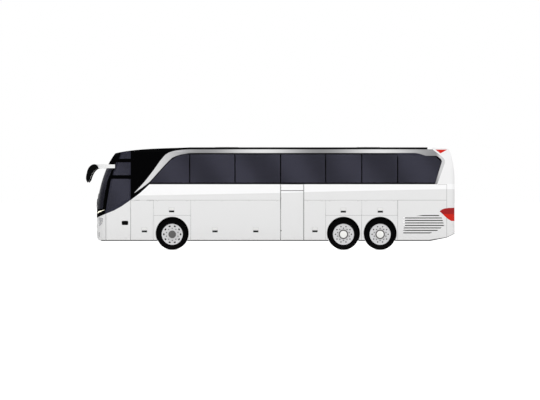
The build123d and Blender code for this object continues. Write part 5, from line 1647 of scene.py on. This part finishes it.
@dataclass
class Tail:
    """Louvres, plate, handle and reflectors at the rear."""

    lid_rows: int = 9
    lid_first: float = 0.98
    lid_pitch: float = 0.052
    lid_half: float = 0.56
    lid_slat: float = 0.030
    lid_lean: float = -0.45
    plate_half: float = 0.26
    plate_span: Pair = (0.76, 0.87)
    reflector_ys: Pair = (0.86, 1.08)
    reflector_span: Pair = (0.66, 0.70)
    handle_half: float = 0.11
    handle_span: Pair = (0.90, 0.935)

    def build(self) -> None:
        """Makes every rear fitting."""
        louvres, plate, trim, handle = Bench(), Bench(), Bench(), Bench()
        half, lean = self.lid_half, Matrix.Rotation(self.lid_lean, 3, "Y")
        for i in range(self.lid_rows):
            z = self.lid_first + self.lid_pitch * i
            louvres.block((6.741, -half, z), (6.752, half, z + self.lid_slat), bevel=0.002, turn=lean)
        louvres.piece("lid_louvres", "engine_lid", Finishes.trim_black)
        half, (low, high) = self.plate_half, self.plate_span
        plate.block((6.742, -half, low), (6.751, half, high), bevel=0.003)
        plate.piece("rear_plate", "engine_lid", Finishes.plate)
        low, high = self.reflector_span
        for side in Side:
            ys = sorted(side.value * y for y in self.reflector_ys)
            trim.block((6.738, ys[0], low), (6.750, ys[1], high), bevel=0.003)
        trim.piece("rear_reflectors", "body", Finishes.tail_lens)
        half, (low, high) = self.handle_half, self.handle_span
        handle.block((6.742, -half, low), (6.753, half, high), bevel=0.005, segments=3)
        handle.piece("engine_lid_handle", "engine_lid", Finishes.trim_black)


@dataclass
class Mirrors:
    """Mirror glass and clamps on the two long arms."""

    behind: float = -5.9
    foot: float = 2.585
    pitch: float = 0.024
    rows: int = 15
    ys: Triple = (-1.352, -1.315, -1.278)
    lift: float = 0.001
    thickness: float = 0.0015
    clamp: tuple[Pair, ...] = ((0.0, 0.0), (0.05, 0.0), (0.055, 0.02), (0.05, 0.10), (0.0, 0.10))
    clamp_place: Triple = (-6.36, -1.315, 2.985)

    def build(self) -> None:
        """Sets the glass in the rear face of each head."""
        glass, clamp = Bench(), Bench()
        heads = Skin(["mirror_heads"])
        rows = []
        for i in range(self.rows):
            z = self.foot + self.pitch * i
            spots = [heads.hit((self.behind, y, z), (-1, 0, 0), self.lift) for y in self.ys]
            rows.append([glass.mesh.verts.new(spot) for spot in spots])
        faces = [
            glass.mesh.faces.new((a[k], a[k + 1], b[k + 1], b[k]))
            for a, b in zip(rows, rows[1:])
            for k in (0, 1)
        ]
        bmesh.ops.recalc_face_normals(glass.mesh, faces=faces)
        bmesh.ops.solidify(glass.mesh, geom=faces, thickness=self.thickness)
        clamp.lathe(self.clamp, self.clamp_place, (0, 0, 1), 24)
        for bench, name, finish in (
            (glass, "mirror_glass", Finishes.mirror), (clamp, "mirror_clamps", Finishes.trim_black)
        ):
            bench.mirror_side()
            bench.piece(name, "body", finish)


# Inside and underneath


@dataclass(frozen=True)
class Pad:
    """A padded slab of a seat: its outline from the side, its swell and its sewn lines."""

    outline: tuple[Pair, Pair, Pair, Pair]
    crown: float
    channels: tuple[float, ...] = ()


@dataclass
class Seat:
    """One upholstered seat that faces forwards, set by its corner."""

    width: float = 0.44
    inset: float = 0.012
    cuts: int = 7
    rounding: Triple = (0.10, 0.06, 0.16)
    seam_depth: float = 0.010
    seam_width: float = 0.12
    pads: tuple[Pad, ...] = (
        Pad(((-0.25, 0.40), (0.24, 0.375), (0.16, 0.465), (-0.25, 0.485)), 0.012, (-0.55, 0.55)),
        Pad(((0.285, 0.40), (0.345, 0.92), (0.235, 0.92), (0.165, 0.47)), 0.012, (-0.6, 0.6)),
        Pad(((0.345, 0.93), (0.36, 1.115), (0.262, 1.12), (0.232, 0.93)), 0.010),
    )
    panel: tuple[Pair, ...] = ((0.296, 0.38), (0.352, 0.96), (0.360, 0.96), (0.306, 0.38))
    panel_inset: float = 0.02
    grab: tuple[Triple, ...] = ((0.352, 0.10, 1.03), (0.364, 0.13, 1.045))

    def pad(self, bench: Bench, corners: Sequence[Triple], crown: float, channels: Sequence[float]) -> None:
        """Adds a padded form between two end faces.

        Args:
            bench: Bench of the cloth.
            corners: Eight corners: low face then high face, in the same order.
            crown: How far the middle of its faces swells.
            channels: Sewn lines across the width, as shares from -1 to 1.
        """
        start = len(bench.mesh.verts)
        verts = bmesh.ops.create_cube(bench.mesh, size=2.0)["verts"]
        edges = list({e for v in verts for e in v.link_edges})
        bmesh.ops.subdivide_edges(bench.mesh, edges=edges, cuts=self.cuts, use_grid_fill=True)
        bench.mesh.verts.ensure_lookup_table()
        spots = [Vector(c) for c in corners]
        for vert in bench.mesh.verts[start:]:
            u, v, w = vert.co
            seam = min((abs(v - c) for c in channels), default=1.0)
            sink = self.seam_depth * max(0.0, 1.0 - seam / self.seam_width)
            body = crown * (1 - u**4) * (1 - v**4) * (1 - w**4)
            swell = body + crown * (1 - u**2) * (1 - v**2) * (abs(w) > 0.99)
            a, b, c = self.round_off(u, v, w)
            low = spots[0].lerp(spots[1], a).lerp(spots[3].lerp(spots[2], a), b)
            high = spots[4].lerp(spots[5], a).lerp(spots[7].lerp(spots[6], a), b)
            up = (high - low).normalized()
            vert.co = low.lerp(high, c) + up * ((swell - sink) * (1 if w > 0 else -0.3) * (abs(w) > 0.3))

    def round_off(self, u: float, v: float, w: float) -> Triple:
        """Place in a box from 0 to 1, drawn in towards its edges and corners.

        Args:
            u: Share along the first side, from -1 to 1.
            v: Share along the second side.
            w: Share along the third side.

        Returns:
            The three shares from 0 to 1.
        """
        r, s, t = self.rounding
        shares = (
            u * math.sqrt(1 - r * (v * v + w * w) / 2), v * math.sqrt(1 - s * (u * u + w * w) / 2),
            w * math.sqrt(1 - t * (u * u + v * v) / 2),
        )
        return tuple((share + 1) / 2 for share in shares)

    def cloth(self, bench: Bench, x: float, y: float, floor: float) -> None:
        """Adds the cushion, the back and the head pad.

        Args:
            bench: Bench of the cloth.
            x: Datum of the seat along the coach.
            y: Its lower edge across the coach.
            floor: Height of the floor it stands on.
        """
        a, b = y + self.inset, y + self.width - self.inset
        for pad in self.pads:
            corners = []
            first, second, third, fourth = pad.outline
            for near, far in ((first, second), (fourth, third)):
                ring = ((near, a), (far, a), (far, b), (near, b))
                corners += [(x + dx, side, floor + dz) for (dx, dz), side in ring]
            self.pad(bench, corners, pad.crown, pad.channels)

    def shell(self, bench: Bench, x: float, y: float, floor: float) -> None:
        """Adds the hard back panel and the grab handle.

        Args:
            bench: Bench of the plastic.
            x: Datum of the seat along the coach.
            y: Its lower edge across the coach.
            floor: Height of the floor it stands on.
        """
        panel = [(x + dx, y + self.panel_inset, floor + dz) for dx, dz in self.panel]
        bench.prism(panel, (0, self.width - 2 * self.panel_inset, 0), bevel=0.003, segments=1)
        near = [(x + dx, y + dy, floor + dz) for dx, dy, dz in self.grab]
        far = [(x + dx, y + self.width - dy, floor + dz) for dx, dy, dz in reversed(self.grab)]
        bench.tube([*near, *far], 0.009, 6)


@dataclass
class Cabin:
    """Seats, racks and the driver's place."""

    deck: float = 1.55
    platform: float = 1.04
    first_x: float = -4.05
    pitch: float = 0.80
    rows: int = 13
    stair_x: float = 0.796
    stair_reach: float = 0.56
    seat_ys: Pair = (0.290, 0.750)
    smooth: float = 60.0
    driver: Pair = (-5.150, 0.40)
    bellows_tips: tuple[Pair, ...] = (
        (0.075, 0.02), (0.055, 0.05), (0.08, 0.09), (0.055, 0.12), (0.08, 0.16), (0.055, 0.19),
        (0.08, 0.23), (0.055, 0.27), (0.075, 0.31),
    )
    cowl: tuple[Pair, ...] = ((-5.96, 1.615), (-5.70, 1.615), (-5.69, 1.66), (-5.80, 1.735), (-5.93, 1.72))
    cowl_ys: Pair = (0.36, 0.88)
    dial_ys: Pair = (0.50, 0.74)
    dial: tuple[Pair, ...] = ((0.0, 0.0), (0.062, 0.0), (0.066, 0.006), (0.060, 0.008), (0.0, 0.006))
    switch_start: Pair = (-0.16, 1.25)
    switch_pitch: Pair = (0.07, 0.09)
    switch_size: float = 0.05
    rack: tuple[Pair, ...] = ((-1.215, 3.30), (-0.86, 3.34), (-0.84, 3.38), (-0.86, 3.42), (-1.215, 3.40))
    rack_run: Pair = (-4.3, 6.1)
    lamp_low: Triple = (-0.2, -1.12, 3.292)
    lamp_high: Triple = (0.04, -0.98, 3.318)

    def build(self) -> None:
        """Makes the cabin's pieces."""
        self.seats()
        self.driver_place()
        self.racks()

    def seats(self) -> None:
        """Makes the padded pairs with their pedestals."""
        cloth, shell, legs = Bench(), Bench(), Bench()
        seat = Seat()
        for row in range(self.rows):
            x = self.first_x + self.pitch * row
            for side in Side:
                if side is Side.LEFT and abs(x - self.stair_x) <= self.stair_reach:
                    continue
                for y in self.seat_ys:
                    low = y if side is Side.RIGHT else -y - seat.width
                    seat.cloth(cloth, x, low, self.deck)
                    seat.shell(shell, x, low, self.deck)
                edges = (self.seat_ys[0], self.seat_ys[1] + seat.width)
                self.pedestal(legs, x, sorted(side.value * edge for edge in edges))
        soft = cloth.piece("seat_cushions", "body", Finishes.cloth, self.smooth)
        shells = shell.piece("seat_shells", "body", Finishes.grey_plastic)
        stands = legs.piece("seat_pedestals", "body", Finishes.plastic)
        for piece in (soft, shells, stands):
            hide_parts("passenger_seats")

    def pedestal(self, legs: Bench, x: float, ys: Sequence[float]) -> None:
        """Adds the rail, the column and the foot under a pair of seats.

        Args:
            legs: Bench of the pedestals.
            x: Datum of the pair along the coach.
            ys: Its two edges across the coach, lowest first.
        """
        middle = (ys[0] + ys[1]) / 2
        for half, low, high, foot, top, bevel in (
            (0.06, ys[0] + 0.01, ys[1] - 0.01, 0.345, 0.385, 0.01),
            (0.05, middle - 0.13, middle + 0.13, 0.012, 0.345, 0.012),
            (0.06, middle - 0.15, middle + 0.15, 0.0, 0.014, 0.004),
        ):
            legs.block((x - half, low, self.deck + foot), (x + half, high, self.deck + top), bevel=bevel)

    def driver_place(self) -> None:
        """Makes the driver's seat and the instruments."""
        x, y = self.driver
        floor = self.platform
        cloth, shell, seat = Bench(), Bench(), Seat()
        seat.cloth(cloth, x, y, floor)
        seat.shell(shell, x, y, floor)
        shell.block((x - 0.055, y + 0.08, floor), (x + 0.055, y + 0.36, floor + 0.06), bevel=0.01)
        bellows = [(0.05, 0.0), *self.bellows_tips, (0.05, 0.34)]
        shell.lathe(bellows, (x, y + seat.width / 2, floor + 0.05), (0, 0, 1), 20)
        soft = cloth.piece("driver_cushions", "body", Finishes.cloth, self.smooth)
        hard = shell.piece("driver_seat_base", "body", Finishes.plastic)
        for piece in (soft, hard):
            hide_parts("driver_seat")
        cowl, dials = Bench(), Bench()
        near, far = self.cowl_ys
        cowl.prism([(px, near, pz) for px, pz in self.cowl], (0, far - near, 0), bevel=0.015)
        cowl.block((-5.70, -0.20, 1.20), (-5.612, 0.28, 1.54), bevel=0.012)
        cowl.piece("instrument_cowl", "body", Finishes.plastic)
        for dial_y in self.dial_ys:
            dials.lathe(self.dial, (-5.722, dial_y, 1.672), (0.83, 0, 0.56), 32)
        (y0, z0), (across, up), size = self.switch_start, self.switch_pitch, self.switch_size
        for row in range(3):
            for column in range(6):
                low = (-5.614, y0 + across * column, z0 + up * row)
                dials.block(low, (-5.606, low[1] + size, low[2] + size), bevel=0.003)
        dials.piece("dials_and_switches", "body", Finishes.grey_plastic)

    def racks(self) -> None:
        """Makes the two luggage racks with their lamps under the roof."""
        rack, lamps = Bench(), Bench()
        front, rear = self.rack_run
        rack.prism([(front, y, z) for y, z in self.rack], (rear - front, 0, 0), bevel=0.012)
        for i in range(self.rows):
            place = Vector((self.first_x + self.pitch * i, 0, 0))
            lamps.block(place + Vector(self.lamp_low), place + Vector(self.lamp_high), bevel=0.008)
        for bench, name, finish in (
            (rack, "luggage_racks", Finishes.lining), (lamps, "reading_lamps", Finishes.grey_plastic)
        ):
            bench.mirror_side()
            bench.piece(name, "body", finish)


@dataclass
class Underside:
    """Drive shaft, mud flaps and splash panels under the floor."""

    shaft: tuple[Pair, ...] = (
        (0.0, 0.0), (0.055, 0.0), (0.055, 1.60), (0.085, 1.62), (0.085, 1.66), (0.0, 1.66)
    )
    shaft_place: Triple = (3.30, 0.0, 0.66)
    shaft_run: Triple = (1, 0, 0.05)
    flap_gaps: tuple[tuple[str, float], ...] = (("front", 0.655), ("tag", 0.615))
    flap_ys: Pair = (-1.225, -0.93)
    flap_span: Pair = (0.345, 0.80)
    rib_ys: Triple = (-1.16, -1.08, -1.0)
    rib_span: Pair = (0.37, 0.74)
    rib_half: float = 0.02
    panel_y: float = -0.575
    panel_span: Pair = (0.405, 1.232)
    panel_thickness: float = 0.008
    houses: tuple[tuple[Pair, tuple[tuple[str, float, float], ...]], ...] = (
        ((-4.268, -2.928), (("front", 0.075, 0.68),)),
        ((2.052, 4.630), (("drive", 0.125, 0.70), ("tag", 0.100, 0.68))),
    )

    def build(self) -> None:
        """Makes the pieces that show from below and through the arches."""
        drive = Bench()
        drive.lathe(self.shaft, self.shaft_place, self.shaft_run, 24)
        drive.piece("drive_shaft", "body", Finishes.satin)
        self.mud_flaps()
        self.splash_panels()

    def mud_flaps(self) -> None:
        """Hangs a ribbed flap behind the front and the last wheels."""
        flaps = Bench()
        (near, far), (foot, top), (rib_foot, rib_top) = self.flap_ys, self.flap_span, self.rib_span
        for axle, gap in self.flap_gaps:
            x = AXLE_X[axle] + gap
            flaps.block((x - 0.012, near, foot), (x, far, top), bevel=0.004)
            for y in self.rib_ys:
                low = (x - 0.016, y - self.rib_half, rib_foot)
                high = (x + 0.002, y + self.rib_half, rib_top)
                flaps.block(low, high, bevel=0.003)
        flaps.mirror_side()
        flaps.piece("mud_flaps", "body", Finishes.rubber_seal)

    def splash_panels(self) -> None:
        """Closes each wheelhouse inboard of its tyres, with slots over the axles."""
        bench = Bench()
        foot, ceiling = self.panel_span
        for (x0, x1), axles in self.houses:
            outline = [(x1, ceiling), (x0, ceiling), (x0, foot)]
            for axle, half, top in axles:
                x = AXLE_X[axle]
                outline += [(x - half, foot), (x - half, top), (x + half, top), (x + half, foot)]
            outline.append((x1, foot))
            bench.prism([(x, self.panel_y, z) for x, z in outline], (0, self.panel_thickness, 0))
        bench.mirror_side()
        bench.piece("splash_panels", "body", Finishes.chassis)


@dataclass
class Roof:
    """Low hatches on the roof."""

    places: Pair = (-1.6, 3.6)
    seal_half: float = 0.43
    lid_half: float = 0.41
    rib_half: Pair = (0.30, 0.02)

    def build(self) -> None:
        """Makes the hatches with their rubber edges."""
        lids, seals = Bench(), Bench()
        rib, thin = self.rib_half

        def span(x: float, dx: float, dy: float, low: float, high: float) -> tuple[Triple, Triple]:
            """Corners of a box about a hatch's middle, from low to high above the roof."""
            return (x - dx, -dy, ROOF_TOP + low), (x + dx, dy, ROOF_TOP + high)

        for x in self.places:
            seals.block(*span(x, self.seal_half, self.seal_half, -0.004, 0.008), bevel=0.004)
            lids.block(*span(x, self.lid_half, self.lid_half, 0.0, 0.022), bevel=0.012, segments=3)
            for dx, dy in ((rib, thin), (thin, rib)):
                lids.block(*span(x, dx, dy, 0.018, 0.027), bevel=0.004)
        lids.piece("roof_hatches", "body", Finishes.arm)
        seals.piece("roof_hatch_seals", "body", Finishes.rubber_seal)


# Studio


@dataclass(frozen=True)
class Softbox:
    """A large soft lamp and the height on the coach's middle that it is turned to."""

    name: str
    place: Triple
    aim: float
    size: float
    share: float


@dataclass
class Studio:
    """Floor, sky, lamps and the camera at the photograph's view."""

    distance: float = 300.0
    frame_width: float = 19.764
    sensor: float = 36.0
    look_x: float = -0.015
    eye_height: float = 1.826
    far: float = 6000.0
    sky: float = 0.72
    lamp: float = 487.0
    floor_size: float = 4000.0
    floor_tones: Pair = (0.79, 0.82)
    floor_glow: float = 0.58
    softboxes: tuple[Softbox, ...] = (
        Softbox("key", (-9.0, -16.0, 13.0), 1.8, 12.0, 2.2),
        Softbox("fill", (12.0, -15.0, 9.0), 1.6, 12.0, 1.3),
        Softbox("back", (0.0, 16.0, 14.0), 2.0, 14.0, 1.6),
    )

    def build(self) -> None:
        """Sets up everything round the coach."""
        self.floor()
        self.world()
        self.lamps()
        self.camera()
        bpy.context.scene.view_settings.view_transform = "Standard"

    def seen(self, graph: Graph) -> Socket:
        """1 for rays from the camera, off gloss or through glass."""
        path = graph.node("ShaderNodeLightPath").outputs
        return graph.any_of(path["Is Camera Ray"], path["Is Glossy Ray"], path["Is Transmission Ray"])

    def floor(self) -> None:
        """Lays a wide pale floor that keeps the shadow."""
        bench = bmesh.new()
        bmesh.ops.create_grid(bench, x_segments=8, y_segments=8, size=self.floor_size)
        data = bpy.data.meshes.new("floor")
        bench.to_mesh(data)
        bench.free()
        plate = bpy.data.objects.new("floor", data)
        bpy.context.scene.collection.objects.link(plate)
        made = bpy.data.materials.new("studio_floor")
        made.use_nodes = True
        tree = made.node_tree
        tree.nodes.clear()
        graph = Graph(tree)
        low, high = (grey(tone) for tone in self.floor_tones)
        tone = graph.blend(graph.noise(graph.object_place(), 0.4, 3.0), low, high)
        diffuse = graph.node("ShaderNodeBsdfDiffuse", {"Color": tone})
        power = graph.math("MULTIPLY", self.seen(graph), self.floor_glow)
        glow = graph.node("ShaderNodeEmission", {"Color": (1, 1, 1, 1), "Strength": power})
        total = graph.node("ShaderNodeAddShader", (diffuse.outputs[0], glow.outputs[0]))
        tree.links.new(total.outputs[0], graph.node("ShaderNodeOutputMaterial").inputs["Surface"])
        data.materials.append(made)

    def world(self) -> None:
        """Lights softly from all round, with white where the camera looks."""
        world = bpy.data.worlds.new("studio")
        world.use_nodes = True
        tree = world.node_tree
        tree.nodes.clear()
        graph = Graph(tree)
        soft = graph.node("ShaderNodeBackground", {"Color": (1, 1, 1, 1), "Strength": self.sky})
        white = graph.node("ShaderNodeBackground", {"Color": (1, 1, 1, 1), "Strength": 1.0})
        both = graph.node("ShaderNodeMixShader", (self.seen(graph), soft.outputs[0], white.outputs[0]))
        tree.links.new(both.outputs[0], graph.node("ShaderNodeOutputWorld").inputs["Surface"])
        bpy.context.scene.world = world

    def lamps(self) -> None:
        """Hangs three large soft lamps."""
        for box in self.softboxes:
            lamp = bpy.data.lights.new(box.name, "AREA")
            lamp.size, lamp.energy = box.size, box.share * self.lamp
            made = bpy.data.objects.new(box.name, lamp)
            made.location = box.place
            look = Vector((0, 0, box.aim)) - Vector(box.place)
            made.rotation_euler = look.to_track_quat("-Z", "Y").to_euler()
            bpy.context.scene.collection.objects.link(made)

    def camera(self) -> None:
        """Stands a long lens square to the left side."""
        lens = bpy.data.cameras.new("camera")
        lens.sensor_width = self.sensor
        lens.lens = self.sensor * self.distance / self.frame_width
        lens.clip_end = self.far
        eye = bpy.data.objects.new("camera", lens)
        eye.location = (self.look_x, -HALF_WIDTH - self.distance, self.eye_height)
        eye.rotation_euler = (math.pi / 2, 0, 0)
        bpy.context.scene.collection.objects.link(eye)
        bpy.context.scene.camera = eye


PLAIN_FINISHES: dict[str, Finish] = {
    **dict.fromkeys(
        ("rear_window", "front_door_glass", "side_windows_left", "side_windows_right"), Finishes.glass
    ),
    **dict.fromkeys(("front_axle", "drive_axle", "tag_axle", "underframe"), Finishes.chassis),
    **dict.fromkeys(("knuckle_left", "knuckle_right", "engine_block"), Finishes.casting),
    **dict.fromkeys(("front_door_arm", "door_post"), Finishes.satin),
    **dict.fromkeys(("dashboard", "steering_wheel"), Finishes.plastic),
    "windscreen": Finishes.screen, "head_lamps": Finishes.head_lens, "tail_lamps": Finishes.tail_lens,
    "stairwells": Finishes.step_rubber, "cabin_floor": Finishes.lining, "mirror_arms": Finishes.arm,
    "mirror_heads": Finishes.trim_black,
}
SKIN_NODES = (
    "front_panel", "roof_panel", "rear_panel", "side_panel_left", "side_panel_right", "windscreen",
    "head_lamps", "tail_lamps", "front_door", "front_door_glass", "engine_lid", "rear_window",
)


def dress_nodes() -> None:
    """Gives every CAD node but the wheels its finish."""
    for node in frame["nodes"]:
        if node in PLAIN_FINISHES:
            dress(node, PLAIN_FINISHES[node])
        elif "_wheel_" not in node or "flap" in node:
            dress(node, Finishes.body)


def main() -> None:
    """Builds every sub-assembly in order."""
    logging.basicConfig(level=logging.INFO, format="%(message)s")
    skin = Skin([node for node in frame["nodes"] if node in SKIN_NODES])
    dress_nodes()
    Tyres().build()
    WheelFittings().build()
    FlapHandles().build()
    DoorHandle().build(skin)
    ArchLips().build()
    PaneSeals().build()
    Nose().build(skin)
    Tail().build()
    Mirrors().build()
    Cabin().build()
    Underside().build()
    Roof().build()
    Studio().build()


if __name__ == "__main__":
    main()
